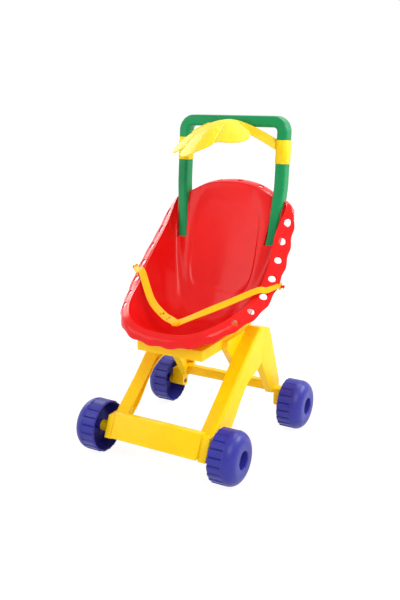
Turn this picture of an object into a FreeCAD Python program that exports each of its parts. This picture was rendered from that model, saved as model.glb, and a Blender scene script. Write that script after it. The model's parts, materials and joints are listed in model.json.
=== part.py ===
import FreeCAD, Part
import math
import os
import Sketcher
from FreeCAD import Placement, Rotation, Vector

# Doll stroller: an A-frame chassis on four wheels, a bucket seat with a pierced brim,
# a push handle that stands in two wells of the seat platform, a sun visor that slides
# on the handle and a two-strap lap belt.  Millimetres, +Z up, the doll faces -Y.
# Every piece is drawn with y counted from the front axle; its Placement then moves it
# back by half the wheelbase, so the origin lies on the ground midway between the axles.

DOC = FreeCAD.newDocument("doll_stroller")

SIZES = {
    # running gear; an inset is the distance from the mid-plane to a wheel's inner face
    "wheelbase": 246.2,
    "wheel_radius": 45.0,
    "wheel_width": 44.0,
    "wheel_shoulder": 19.0,
    "wheel_wall": 3.5,
    "front_inset": 107.7,
    "rear_inset": 117.4,
    "recess_radius": 15.0,
    "recess_depth": 13.0,
    "hub_radius": 8.5,
    "tread_count": 20.0,
    "tread_depth": 1.4,
    "tread_gap": 5.0,
    "tread_run": 26.0,
    "pin_radius": 4.0,
    "pin_head_radius": 9.0,
    "pin_head_height": 3.0,
    "pin_barb": 1.2,
    "pin_tip": 5.0,
    "boss_radius": 9.5,
    "boss_reach": 11.0,
    "running_gap": 0.08,
    "seat_gap": 0.05,
    "play": 0.3,
    # side frames: outline corners, y from the front axle and z from the ground
    "frame_outer": 97.0,
    "front_leg_depth": 26.0,
    "rear_leg_depth": 14.0,
    "frame_wall": 3.0,
    "sole_z": 38.0,
    "toe_y": -27.0,
    "toe_back_y": 29.0,
    "instep_y": -12.0,
    "instep_z": 73.0,
    "ankle_y": 5.5,
    "shin_y": 20.5,
    "shin_z": 84.8,
    "knee_y": 150.0,
    "knee_z": 187.0,
    "hip_y": 176.0,
    "hip_z": 206.0,
    "rump_y": 211.0,
    "rump_z": 197.0,
    "haunch_y": 219.0,
    "haunch_z": 180.0,
    "fork_y": 179.0,
    "fork_z": 140.0,
    "heel_y": 261.0,
    "heel_z": 80.0,
    "heel_front_y": 231.0,
    "heel_base_z": 64.0,
    "frame_bevel": 6.0,
    "frame_rim": 8.0,
    "block_top_z": 71.0,
    "block_reach": 3.0,
    # crossbars
    "bar_wall": 3.0,
    "nose_y": -31.0,
    "brow_y": -12.0,
    "bar_back_y": 5.0,
    "bar_base_z": 41.0,
    "bar_top_z": 79.0,
    "rear_bar_y": 232.0,
    "rear_bar_depth": 14.0,
    "rear_bar_base_z": 67.0,
    "rear_bar_height": 17.0,
    "tenon": 10.0,
    "tenon_length": 8.0,
    # platform
    "platform_half": 62.0,
    "platform_front_y": 27.0,
    "platform_rear_y": 209.0,
    "platform_top_z": 202.0,
    "platform_skirt": 18.0,
    "platform_wall": 3.0,
    "well_wall": 2.4,
    "well_gap": 0.3,
    "cheek_front_y": 98.0,
    "cheek_base_z": 147.0,
    "cheek_rear_y": 170.0,
    # screws and retainers
    "screw_radius": 1.6,
    "screw_head_radius": 3.4,
    "screw_head_height": 2.0,
    "screw_length": 16.0,
    "screw_boss_radius": 4.0,
    "screw_front_y": 137.0,
    "screw_front_z": 157.0,
    "screw_rear_y": 160.0,
    "screw_rear_z": 167.0,
    "stud_radius": 3.5,
    "stud_length": 9.0,
    "stud_spread_x": 24.0,
    "stud_spread_y": 26.0,
    "retainer_radius": 7.0,
    "retainer_height": 3.5,
    # handle: a tube of rounded rectangular section
    "grip_width": 19.0,
    "grip_depth": 26.0,
    "grip_corner": 7.0,
    "leg_foot_x": 46.0,
    "leg_foot_y": 189.3,
    "leg_foot_z": 193.0,
    "leg_bend_x": 88.7,
    "leg_bend_y": 239.5,
    "leg_bend_z": 345.0,
    "leg_top_x": 96.0,
    "leg_straight_z": 440.0,
    "bar_y": 256.0,
    "bar_z": 550.5,
    "bar_corner": 17.0,
    "leg_bend_radius": 130.0,
    "grip_wall": 2.4,
    # seat
    "seat_half_width": 115.0,
    "seat_front_y": 4.0,
    "seat_back_y": 247.0,
    "seat_lip_z": 230.0,
    "seat_crest_z": 446.0,
    "seat_wall": 2.5,
    "sole_half_x": 40.0,
    "sole_half_y": 45.0,
    "sole_centre_y": 115.0,
    "floor_reach": 35.0,
    "brim_wall": 2.2,
    "brim_width": 30.0,
    "brim_hole_radius": 6.3,
    "brim_hole_pitch": 37.5,
    "brim_first_hole": 32.0,
    "brim_lobe": 2.5,
    "crest_hole_pitch": 41.0,
    "crest_hole_shift": 8.0,
    "crest_hole_radius": 5.5,
    "slot_floor_z": 342.0,
    "slot_gap": 0.8,
    "peg_radius": 2.2,
    "peg_length": 7.5,
    # visor
    "visor_sheet": 1.8,
    "visor_crown_z": 554.0,
    "visor_crown_y": 222.0,
    "visor_band": 16.0,
    "visor_sweep": 18.0,
    "visor_bow": 36.0,
    "visor_twist": 27.0,
    "visor_reach": 120.0,
    "visor_notch": 101.0,
    "visor_droop": 53.0,
    "petal_root": 33.0,
    "petal_bulge": 38.0,
    "petal_end": 30.0,
    "centre_petal": 17.0,
    "side_petal": 80.0,
    "collar_base_z": 480.0,
    "collar_height": 40.0,
    "collar_wall": 1.2,
    "collar_gap": 0.3,
    # belt
    "strap_width": 13.0,
    "strap_thick": 1.8,
    "strap_eye_gap": 0.4,
    "eye_radius": 6.5,
    "strap_lift": 4.2,
    "peg_standoff": 1.2,
    "belt_point_y": 48.0,
    "belt_point_z": 234.0,
}

BRIM_HOLES = 7
SIDES = {"left": -1, "right": 1}


def make_sheet():
    """The spreadsheet that holds every driving size."""
    sheet = DOC.addObject("Spreadsheet::Sheet", "Sizes")
    for row, (alias, number) in enumerate(SIZES.items(), start=1):
        sheet.set("A%d" % row, alias)
        sheet.set("B%d" % row, str(number))
        sheet.setAlias("B%d" % row, alias)
    DOC.recompute()
    return sheet


SHEET = make_sheet()
PIECES = {}


def size(alias):
    """A size as the sheet holds it."""
    return float(getattr(SHEET, alias))


def sheet_formula(formula):
    """A formula of bare aliases, written the way another object names them."""
    words = formula.replace("(", " ( ").replace(")", " ) ").split()
    return " ".join("Sizes." + word if word in SIZES else word for word in words)


def amount(formula):
    """The number that a formula of sheet sizes stands for."""
    if not isinstance(formula, str):
        return float(formula)
    found = SHEET.evalExpression(formula)
    return float(getattr(found, "Value", found))


def bind(obj, prop, formula):
    """Bind one property to a formula of sheet sizes."""
    obj.setExpression(prop, sheet_formula(formula))


# ---------------------------------------------------------------- bodies and features


def new_body(label, x="0", y="0 - wheelbase / 2", z="0"):
    """A body named for its piece, and placed in the object's frame."""
    body = DOC.addObject("PartDesign::Body", label)
    body.Label = label
    bind(body, "Placement.Base.x", x)
    bind(body, "Placement.Base.y", y)
    bind(body, "Placement.Base.z", z)
    PIECES[label] = body
    return body


def new_sketch(body, role, offset):
    """A sketch on one of the body's own origin planes, moved along the plane's normal."""
    sketch = body.newObject("Sketcher::SketchObject", body.Label + "_sketch")
    plane = next(item for item in body.Origin.OriginFeatures if item.Role == role)
    sketch.AttachmentSupport = [(plane, "")]
    sketch.MapMode = "FlatFace"
    bind(sketch, "AttachmentOffset.Base.z", offset)
    return sketch


def fix_coordinate(sketch, kind, line, place, formula):
    """Hold one coordinate of a line's start at a formula of sheet sizes."""
    row = sketch.addConstraint(Sketcher.Constraint(kind, -1, 1, line, 1, place))
    bind(sketch, "Constraints[%d]" % row, formula)


def outline(body, role, offset, corners):
    """A closed polygon whose corners given as formulas stay bound to the sheet."""
    sketch = new_sketch(body, role, offset)
    places = [(amount(across), amount(along)) for across, along in corners]
    for here, there in zip(places, places[1:] + places[:1]):
        sketch.addGeometry(Part.LineSegment(Vector(*here, 0), Vector(*there, 0)), False)
    for line in range(len(corners)):
        sketch.addConstraint(Sketcher.Constraint("Coincident", line, 2, (line + 1) % len(corners), 1))
    for line, (across, along) in enumerate(corners):
        if isinstance(across, str):
            fix_coordinate(sketch, "DistanceX", line, places[line][0], across)
        if isinstance(along, str):
            fix_coordinate(sketch, "DistanceY", line, places[line][1], along)
    return sketch


def circles(body, role, offset, centres, radius):
    """A sketch of equal circles at given centres."""
    sketch = new_sketch(body, role, offset)
    for index, (across, along) in enumerate(centres):
        centre = Vector(amount(across), amount(along), 0)
        sketch.addGeometry(Part.Circle(centre, Vector(0, 0, 1), amount(radius)), False)
        row = sketch.addConstraint(Sketcher.Constraint("Radius", index, amount(radius)))
        bind(sketch, "Constraints[%d]" % row, radius)
        for kind, place, formula in (("DistanceX", centre.x, across), ("DistanceY", centre.y, along)):
            row = sketch.addConstraint(Sketcher.Constraint(kind, -1, 1, index, 3, place))
            bind(sketch, "Constraints[%d]" % row, formula)
    return sketch


def pad(body, sketch, length):
    """Add material along the sketch's normal."""
    feature = body.newObject("PartDesign::Pad", body.Label + "_pad")
    feature.Profile = sketch
    bind(feature, "Length", length)
    DOC.recompute()
    return feature


def pocket(body, sketch, depth):
    """Cut away material against the sketch's normal, and make sure that it cuts."""
    before = body.Shape.Volume
    feature = body.newObject("PartDesign::Pocket", body.Label + "_pocket")
    feature.Profile = sketch
    bind(feature, "Length", depth)
    DOC.recompute()
    if not feature.Shape.Volume < before:
        raise ValueError(feature.Label + " cuts nothing")
    return feature


def revolve(body, corners):
    """A solid of revolution about the body's x axis from (x, radius) corners."""
    sketch = outline(body, "XY_Plane", "0", corners)
    feature = body.newObject("PartDesign::Revolution", body.Label + "_turned")
    feature.Profile = sketch
    feature.ReferenceAxis = (sketch, ["H_Axis"])
    feature.Angle = 360
    DOC.recompute()
    return feature


def round_edges(body, radius, chosen):
    """Round the body's edges that a test picks."""
    base = body.Tip
    names = ["Edge%d" % number for number, edge in enumerate(base.Shape.Edges, start=1) if chosen(edge)]
    feature = body.newObject("PartDesign::Fillet", body.Label + "_round")
    feature.Base = (base, names)
    bind(feature, "Radius", radius)
    DOC.recompute()
    return feature


def slab(body, side, corners, inner, outer):
    """A plate of (y, z) outline between two distances from the mid-plane, on one side."""
    low = inner if side > 0 else "0 - (%s)" % outer
    return pad(body, outline(body, "YZ_Plane", low, corners), "%s - (%s)" % (outer, inner))


def hollow(body, side, corners, inner, outer):
    """Cut a (y, z) outline between two distances from the mid-plane, on one side."""
    high = outer if side > 0 else "0 - (%s)" % inner
    return pocket(body, outline(body, "YZ_Plane", high, corners), "%s - (%s)" % (outer, inner))


def rods(body, side, centres, radius, inner, outer):
    """Round bosses along x between two distances from the mid-plane, on one side."""
    low = inner if side > 0 else "0 - (%s)" % outer
    return pad(body, circles(body, "YZ_Plane", low, centres, radius), "%s - (%s)" % (outer, inner))


def bores(body, side, centres, radius, inner, outer):
    """Round holes along x between two distances from the mid-plane, on one side."""
    high = outer if side > 0 else "0 - (%s)" % inner
    return pocket(body, circles(body, "YZ_Plane", high, centres, radius), "%s - (%s)" % (outer, inner))


def rectangle(low_across, low_along, high_across, high_along):
    """The four corners of a rectangle."""
    return [
        (low_across, low_along),
        (high_across, low_along),
        (high_across, high_along),
        (low_across, high_along),
    ]


def inset(corners, wall):
    """A counter-clockwise polygon moved inwards by a wall."""
    places = [Vector(amount(across), amount(along), 0) for across, along in corners]
    moved = []
    for index, here in enumerate(places):
        before = (here - places[index - 1]).normalize()
        after = (places[(index + 1) % len(places)] - here).normalize()
        inward = Vector(-before.y, before.x, 0)
        onward = Vector(-after.y, after.x, 0)
        shift = (inward + onward) * (wall / (1 + inward.dot(onward)))
        moved.append((here.x + shift.x, here.y + shift.y))
    return moved


def free_piece(label, shape):
    """A piece whose shape is worked out here, placed like the bodies."""
    piece = DOC.addObject("Part::Feature", label)
    piece.Label = label
    piece.Shape = shape
    piece.Placement = Placement(Vector(0, -size("wheelbase") / 2, 0), Rotation())
    PIECES[label] = piece
    return piece


# ---------------------------------------------------------------- chassis

FRONT_AXLE = ("0", "wheel_radius")
REAR_AXLE = ("wheelbase", "wheel_radius")
FRAME_INNER = "frame_outer - front_leg_depth"
LEG_SPLIT = "frame_outer - rear_leg_depth"

LEG_OUTLINE = [
    ("ankle_y", "instep_z - frame_wall"),
    ("shin_y", "instep_z - frame_wall"),
    ("fork_y", "fork_z"),
    ("haunch_y", "haunch_z"),
    ("rump_y", "rump_z"),
    ("hip_y", "hip_z"),
    ("knee_y", "knee_z"),
    ("ankle_y", "instep_z"),
]

FRAME_OUTLINE = [
    ("toe_y", "sole_z"),
    ("toe_back_y", "sole_z"),
    ("fork_y", "fork_z"),
    ("heel_front_y", "heel_base_z"),
    ("heel_y", "heel_base_z"),
    ("heel_y", "heel_z"),
    ("haunch_y", "haunch_z"),
    ("rump_y", "rump_z"),
    ("hip_y", "hip_z"),
    ("knee_y", "knee_z"),
    ("ankle_y", "instep_z"),
    ("instep_y", "instep_z"),
]

LEG_HOLLOW = [
    ("shin_y", "sole_z"),
    ("toe_back_y", "sole_z"),
    ("fork_y", "fork_z"),
    ("haunch_y", "haunch_z"),
    ("rump_y", "rump_z"),
    ("hip_y", "hip_z"),
    ("knee_y", "knee_z"),
    ("shin_y", "shin_z"),
]

# The front leg is open along its lower side, but for a rim beside the outer wall.
LEG_OPENING = [
    ("shin_y + frame_wall", "sole_z - frame_wall"),
    ("toe_back_y + frame_wall", "sole_z - frame_wall"),
    ("fork_y", "fork_z - frame_wall * 4"),
    ("fork_y - frame_wall * 4", "fork_z + frame_wall"),
    ("shin_y + frame_wall", "sole_z + frame_wall * 2"),
]

HAUNCH_HOLLOW = [
    ("fork_y + frame_wall", "fork_z + frame_wall * 2"),
    ("heel_front_y", "heel_z"),
    ("heel_y", "heel_z"),
    ("haunch_y", "haunch_z"),
    ("rump_y + frame_wall", "rump_z - frame_wall * 2"),
]

# Where the axle pins' bores stop widening for the pins' barbs.
FRONT_STOP = LEG_SPLIT + " + pin_tip + play"
REAR_STOP = "frame_outer + pin_tip + play"

SCREW_PLACES = {"front": ("screw_front_y", "screw_front_z"), "rear": ("screw_rear_y", "screw_rear_z")}


def front_tenon(gap):
    """The front crossbar's tenon outline, widened by a gap."""
    return rectangle(
        "brow_y - %s" % gap,
        "instep_z - bar_wall - tenon - %s" % gap,
        "brow_y + tenon + %s" % gap,
        "instep_z - bar_wall + %s" % gap,
    )


def rear_tenon(gap):
    """The rear crossbar's tenon outline, widened by a gap."""
    return rectangle(
        "rear_bar_y + bar_wall - %s" % gap,
        "rear_bar_base_z + bar_wall - %s" % gap,
        "rear_bar_y + bar_wall + tenon - %s + %s * 2" % (gap, gap),
        "rear_bar_base_z + bar_wall + tenon - %s + %s * 2" % (gap, gap),
    )


def make_side_frame(name, side):
    """One A-frame: a deep front leg, a shallow rear leg and two axle bosses."""
    body = new_body("side_frame_" + name)
    slab(body, side, FRAME_OUTLINE, LEG_SPLIT, "frame_outer")
    slab(body, side, LEG_OUTLINE, FRAME_INNER, LEG_SPLIT)
    wall = size("frame_wall")
    skin = "frame_outer - frame_wall"
    hollow(body, side, inset(LEG_HOLLOW, wall), FRAME_INNER, skin)
    hollow(body, side, inset(HAUNCH_HOLLOW, wall), LEG_SPLIT, skin)
    hollow(body, side, LEG_OPENING, FRAME_INNER, "frame_outer - frame_rim")
    rods(body, side, SCREW_PLACES.values(), "screw_boss_radius", FRAME_INNER, skin)
    block = rectangle("wheelbase - boss_radius", "wheel_radius", "wheelbase + boss_radius", "block_top_z")
    slab(body, side, block, "frame_outer", "rear_inset + block_reach")
    bore = "pin_radius + seat_gap"
    for axle, inner, outer in (
        (FRONT_AXLE, LEG_SPLIT, "front_inset + boss_reach"),
        (REAR_AXLE, "frame_outer", "rear_inset + boss_reach"),
    ):
        rods(body, side, [axle], "boss_radius", inner, outer)
        bores(body, side, [axle], bore, inner, outer)
    barb_room = "pin_radius + pin_barb + play"
    bores(body, side, [FRONT_AXLE], barb_room, LEG_SPLIT, FRONT_STOP)
    bores(body, side, [REAR_AXLE], barb_room, "frame_outer", REAR_STOP)
    bores(body, side, SCREW_PLACES.values(), "screw_radius", FRAME_INNER, "%s + screw_length" % FRAME_INNER)
    reach = "%s + tenon_length + play" % LEG_SPLIT
    hollow(body, side, front_tenon("seat_gap"), LEG_SPLIT, reach)
    hollow(body, side, rear_tenon("seat_gap"), LEG_SPLIT, reach)
    round_edges(body, "frame_bevel", lambda edge: is_shin(edge, side))
    return body


def is_shin(edge, side):
    """Whether an edge is the outer one down the front of a front leg."""
    box = edge.BoundBox
    beside = abs(box.XMin - side * size("frame_outer")) + abs(box.XMax - side * size("frame_outer"))
    ahead = abs(box.YMin - size("ankle_y")) + abs(box.YMax - size("knee_y"))
    return beside + ahead + abs(box.ZMin - size("instep_z")) + abs(box.ZMax - size("knee_z")) < 0.01


def make_front_crossbar():
    """The front crossbar: a sloping face and a top, hollow behind, with a tenon at each end."""
    body = new_body("front_crossbar")
    section = [
        ("nose_y", "bar_base_z"),
        ("bar_back_y", "bar_base_z"),
        ("bar_back_y", "bar_top_z - bar_wall"),
        ("brow_y", "bar_top_z"),
    ]
    pad(body, outline(body, "YZ_Plane", "0 - (%s)" % LEG_SPLIT, section), "2 * (%s)" % LEG_SPLIT)
    room = inset(section, size("bar_wall"))
    back = amount("bar_back_y + bar_wall")
    room = [room[0], (back, room[1][1]), (back, room[2][1]), room[3]]
    pocket(
        body,
        outline(body, "YZ_Plane", "%s - bar_wall" % LEG_SPLIT, room),
        "2 * (%s - bar_wall)" % LEG_SPLIT,
    )
    for side in SIDES.values():
        slab(body, side, front_tenon("0"), LEG_SPLIT, "%s + tenon_length" % LEG_SPLIT)
    round_edges(body, "bar_wall", lambda edge: is_long_edge(edge, size("brow_y"), size("bar_top_z")))
    return body


def is_long_edge(edge, y, z):
    """Whether an edge runs along x through a given y and z."""
    box = edge.BoundBox
    return abs(box.YMin - y) + abs(box.YMax - y) + abs(box.ZMin - z) + abs(box.ZMax - z) < 0.01


def make_rear_crossbar():
    """The rear crossbar: a channel open underneath, with a tenon at each end."""
    body = new_body("rear_crossbar")
    top = "rear_bar_base_z + rear_bar_height"
    section = rectangle("rear_bar_y", "rear_bar_base_z", "rear_bar_y + rear_bar_depth", top)
    pad(body, outline(body, "YZ_Plane", "0 - (%s)" % LEG_SPLIT, section), "2 * (%s)" % LEG_SPLIT)
    room = rectangle(
        "rear_bar_y + bar_wall",
        "rear_bar_base_z - bar_wall",
        "rear_bar_y + rear_bar_depth - bar_wall",
        top + " - bar_wall",
    )
    pocket(
        body,
        outline(body, "YZ_Plane", "%s - bar_wall" % LEG_SPLIT, room),
        "2 * (%s - bar_wall)" % LEG_SPLIT,
    )
    for side in SIDES.values():
        slab(body, side, rear_tenon("0"), LEG_SPLIT, "%s + tenon_length" % LEG_SPLIT)
    return body


def stud_places():
    """Where the seat's studs pass through the platform."""
    return [
        ("%d * stud_spread_x" % across, "sole_centre_y + %d * stud_spread_y" % along)
        for across in (-1, 1)
        for along in (-1, 1)
    ]


def make_platform():
    """The tray that carries the seat, with a cheek on each side that closes the front leg."""
    body = new_body("seat_platform")
    plate = rectangle("0 - platform_half", "platform_front_y", "platform_half", "platform_rear_y")
    base = "platform_top_z - platform_skirt"
    pad(body, outline(body, "XY_Plane", base, plate), "platform_skirt")
    room = rectangle(
        "platform_wall - platform_half",
        "platform_front_y + platform_wall",
        "platform_half - platform_wall",
        "platform_rear_y - platform_wall",
    )
    pocket(
        body,
        outline(body, "XY_Plane", "platform_top_z - platform_wall", room),
        "platform_skirt",
    )
    cheek = [
        ("cheek_front_y", base),
        ("screw_front_y - screw_boss_radius * 2", "cheek_base_z"),
        ("screw_front_y + screw_boss_radius * 2", "cheek_base_z"),
        ("cheek_rear_y", "screw_rear_z - screw_boss_radius * 2"),
        ("cheek_rear_y", "platform_top_z - platform_wall"),
        ("cheek_front_y", "platform_top_z - platform_wall"),
    ]
    for side in SIDES.values():
        slab(body, side, cheek, "platform_half - platform_wall", FRAME_INNER)
        bores(
            body,
            side,
            SCREW_PLACES.values(),
            "screw_radius + play",
            "platform_half - platform_wall",
            FRAME_INNER,
        )
    holes = circles(body, "XY_Plane", "platform_top_z", stud_places(), "stud_radius + play")
    pocket(body, holes, "platform_wall")
    for side in SIDES.values():
        bottom = amount(base)
        top = size("platform_top_z")
        wall = size("well_wall") + size("well_gap")
        loft(body, "AdditiveLoft", side, [bottom, top - size("platform_wall") / 2], wall)
        loft(body, "SubtractiveLoft", side, [bottom + size("platform_wall"), top], size("well_gap"))
    return body


def well_section(side, z, margin):
    """A well's rectangle at a height: the handle's leg there, widened by a margin."""
    foot, bend = handle_points()[:2]
    tangent = (bend - foot).normalize()
    middle = foot + tangent * ((z - foot.z) / tangent.z)
    splay = tangent.x / tangent.z
    lean = tangent.y / tangent.z
    half_x = size("grip_width") / 2 * math.hypot(1, splay) + margin
    half_y = size("grip_depth") / 2 * math.hypot(1, lean) + splay * lean * half_x + margin
    ends = sorted((side * (middle.x - half_x), side * (middle.x + half_x)))
    return rectangle(ends[0], middle.y - half_y, ends[1], middle.y + half_y)


def loft(body, kind, side, heights, margin):
    """Add or cut a well between two heights, leaning with the handle's leg."""
    low, high = [
        outline(body, "XY_Plane", str(z), [(x, y) for x, y in well_section(side, z, margin)]) for z in heights
    ]
    feature = body.newObject("PartDesign::" + kind, body.Label + "_well")
    feature.Profile = low
    feature.Sections = [high]
    feature.Ruled = True
    DOC.recompute()
    return feature


def make_screw(label, side, place):
    """A self-tapping screw that ties a cheek to its side frame."""
    head = "platform_half - platform_wall - screw_head_height"
    tip = "%s + screw_length" % FRAME_INNER
    body = new_body(label, y="%s - wheelbase / 2" % place[0], z=place[1])
    corners = [
        (head, "0"),
        (tip, "0"),
        (tip + " - screw_radius", "screw_radius"),
        ("platform_half - platform_wall", "screw_radius"),
        ("platform_half - platform_wall", "screw_head_radius"),
        (head, "screw_head_radius"),
    ]
    revolve(body, mirrored(corners, side))
    return body


def mirrored(corners, side):
    """(x, radius) corners, turned over to the left side where asked."""
    if side > 0:
        return corners
    return [("0 - (%s)" % along, radius) for along, radius in corners]


def make_wheel(label, side, inset_name, axle):
    """A hollow wheel: tread, big outer shoulder, recessed hub and ribs across the tread."""
    body = new_body(
        label,
        x="%d * %s" % (side, inset_name),
        y="%s - wheelbase / 2" % axle[0],
        z=axle[1],
    )
    bore = "pin_radius + running_gap"
    floor = "wheel_width - recess_depth"
    corners = [
        ("0", "wheel_radius - wheel_wall"),
        ("0", "wheel_radius"),
        ("wheel_width", "wheel_radius"),
        ("wheel_width", "recess_radius"),
        (floor, "recess_radius"),
        (floor, bore),
        ("boss_reach + play", bore),
        ("boss_reach + play", "hub_radius"),
        (floor + " - wheel_wall", "hub_radius"),
        (floor + " - wheel_wall", "recess_radius + wheel_wall"),
        ("wheel_width - wheel_wall", "recess_radius + wheel_wall"),
        ("wheel_width - wheel_wall", "wheel_radius - wheel_wall"),
    ]
    revolve(body, mirrored(corners, side))
    width = size("wheel_width")
    radius = size("wheel_radius")
    wall = size("wheel_wall")
    round_edges(body, "wheel_shoulder", lambda edge: is_ring(edge, side * width, radius))
    round_edges(
        body,
        "wheel_shoulder - wheel_wall",
        lambda edge: is_ring(edge, side * (width - wall), radius - wall),
    )
    groove = rectangle("0 - tread_gap / 2", "wheel_radius - tread_depth", "tread_gap / 2", "wheel_radius + wheel_wall")
    cut = hollow(body, side, groove, "0", "tread_run")
    pattern = body.newObject("PartDesign::PolarPattern", label + "_tread")
    pattern.Originals = [cut]
    axis = next(item for item in body.Origin.OriginFeatures if item.Role == "X_Axis")
    pattern.Axis = (axis, [""])
    pattern.Angle = 360
    bind(pattern, "Occurrences", "tread_count")
    body.Tip = pattern
    DOC.recompute()
    return body


def is_ring(edge, x, radius):
    """Whether an edge is a full circle about the body's x axis."""
    if not isinstance(edge.Curve, Part.Circle):
        return False
    return abs(edge.Curve.Center.x - x) < 0.01 and abs(edge.Curve.Radius - radius) < 0.01


def make_axle_pin(label, side, inset_name, axle, inner):
    """A headed pin that the wheel turns on, barbed behind its bore's inner end."""
    body = new_body(label, y="%s - wheelbase / 2" % axle[0], z=axle[1])
    seat = "%s + wheel_width - recess_depth + play" % inset_name
    stop = "%s - seat_gap" % inner
    corners = [
        (stop + " - pin_tip", "0"),
        (seat + " + pin_head_height", "0"),
        (seat + " + pin_head_height", "pin_head_radius"),
        (seat, "pin_head_radius"),
        (seat, "pin_radius"),
        (stop, "pin_radius"),
        (stop, "pin_radius + pin_barb"),
        (stop + " - pin_tip", "pin_radius - pin_barb"),
    ]
    revolve(body, mirrored(corners, side))
    return body


def make_running_gear():
    """Four wheels and the pins that they turn on."""
    for name, side in SIDES.items():
        for end, inset_name, axle, inner in (
            ("front", "front_inset", FRONT_AXLE, FRONT_STOP),
            ("rear", "rear_inset", REAR_AXLE, REAR_STOP),
        ):
            make_wheel("wheel_%s_%s" % (end, name), side, inset_name, axle)
            make_axle_pin("axle_pin_%s_%s" % (end, name), side, inset_name, axle, inner)


# ---------------------------------------------------------------- closed curves and skins


def closed_curve(points, place):
    """A point on the closed Catmull-Rom curve through some points."""
    count = len(points)
    first = math.floor(place)
    step = place - first
    a, b, c, d = (points[(first + shift) % count] for shift in (-1, 0, 1, 2))
    return (
        b * 2
        + (c - a) * step
        + (a * 2 - b * 5 + c * 4 - d) * step**2
        + (b * 3 - a - c * 3 + d) * step**3
    ) * 0.5


def ring_wire(points):
    """A smooth closed wire through points."""
    curve = Part.BSplineCurve()
    curve.interpolate(Points=points, PeriodicFlag=True)
    return Part.Wire([curve.toShape()])


def solid_of(faces):
    """The solid that a closed set of faces bounds."""
    shell = Part.makeShell(faces)
    shell.sewShape()
    solid = Part.makeSolid(shell.Shells[0])
    if solid.Volume < 0:
        solid.reverse()
    return solid


def sheet_solid(rows, thickness):
    """A sheet through rows of points, thickened downwards along its own normals."""
    under = [
        [point - normal_at(rows, i, j) * thickness for j, point in enumerate(row)]
        for i, row in enumerate(rows)
    ]
    skins = []
    for grid in (rows, under):
        surface = Part.BSplineSurface()
        surface.interpolate(grid)
        skins.append(surface.toShape())
    top, bottom = skins
    sides = [Part.makeRuledSurface(upper, lower) for upper, lower in zip(top.Edges, bottom.Edges)]
    return solid_of([top, bottom] + sides)


def normal_at(rows, i, j):
    """The upward normal of a grid of points at one of them."""
    down = rows[min(i + 1, len(rows) - 1)][j] - rows[max(i - 1, 0)][j]
    across = rows[i][min(j + 1, len(rows[0]) - 1)] - rows[i][max(j - 1, 0)]
    normal = down.cross(across).normalize()
    return normal if normal.z > 0 else normal * -1


# ---------------------------------------------------------------- handle


def arc_corner(before, corner, after, radius):
    """The tangent arc that rounds a corner: its two ends and its middle."""
    back = (before - corner).normalize()
    on = (after - corner).normalize()
    half_turn = back.getAngle(on) / 2
    reach = radius / math.tan(half_turn)
    bisector = (back + on).normalize()
    middle = corner + bisector * (radius / math.sin(half_turn) - radius)
    return corner + back * reach, middle, corner + on * reach


def rounded_path(points, radii):
    """A wire of straight runs through points, its inner corners rounded by tangent arcs."""
    edges = []
    start = points[0]
    for before, corner, after, radius in zip(points, points[1:], points[2:], radii):
        first, middle, last = arc_corner(before, corner, after, radius)
        edges.append(Part.LineSegment(start, first).toShape())
        edges.append(Part.Arc(first, middle, last).toShape())
        start = last
    edges.append(Part.LineSegment(start, points[-1]).toShape())
    return Part.Wire(edges)


def rounded_section(centre, across, along, width, depth, corner):
    """A rounded rectangle round a centre, in the plane of two unit directions."""
    half_w = width / 2
    half_d = depth / 2
    ring = [(half_w, half_d), (-half_w, half_d), (-half_w, -half_d), (half_w, -half_d)]
    corners = [centre + across * u + along * v for u, v in ring]
    edges = []
    for index, here in enumerate(corners):
        before = corners[index - 1]
        after = corners[(index + 1) % 4]
        beyond = corners[(index + 2) % 4]
        first, middle, last = arc_corner(before, here, after, corner)
        following = arc_corner(here, after, beyond, corner)[0]
        edges.append(Part.Arc(first, middle, last).toShape())
        edges.append(Part.LineSegment(last, following).toShape())
    return Part.Wire(edges)


def leg_y(z):
    """The handle's y at a height above its bend."""
    share = (z - size("leg_bend_z")) / (size("bar_z") - size("leg_bend_z"))
    return size("leg_bend_y") + share * (size("bar_y") - size("leg_bend_y"))


def handle_points():
    """The corners of the handle's centre line, from the right foot to the left."""
    right = [
        Vector(size("leg_foot_x"), size("leg_foot_y"), size("leg_foot_z")),
        Vector(size("leg_bend_x"), size("leg_bend_y"), size("leg_bend_z")),
        Vector(size("leg_top_x"), leg_y(size("leg_straight_z")), size("leg_straight_z")),
        Vector(size("leg_top_x"), size("bar_y"), size("bar_z")),
    ]
    return right + [Vector(-point.x, point.y, point.z) for point in reversed(right)]


def grip_tube(shrink):
    """The handle's tube, its section smaller by a wall all round."""
    points = handle_points()
    bend = size("leg_bend_radius")
    corner = size("bar_corner")
    spine = rounded_path(points, [bend, bend, corner, corner, bend, bend])
    tangent = (points[1] - points[0]).normalize()
    across = Vector(0, 1, 0).cross(tangent).normalize()
    along = tangent.cross(across)
    section = rounded_section(
        points[0],
        across,
        along,
        size("grip_width") - 2 * shrink,
        size("grip_depth") - 2 * shrink,
        size("grip_corner") - shrink,
    )
    sweep = Part.BRepOffsetAPI.MakePipeShell(spine)
    sweep.setBiNormalMode(Vector(0, 1, 0))
    sweep.add(section, False, False)
    sweep.build()
    sweep.makeSolid()
    return sweep.shape()


def make_handle():
    """The push handle: one hollow tube bent into an inverted U."""
    return free_piece("handle", grip_tube(0).cut(grip_tube(size("grip_wall"))))


# ---------------------------------------------------------------- seat

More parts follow.
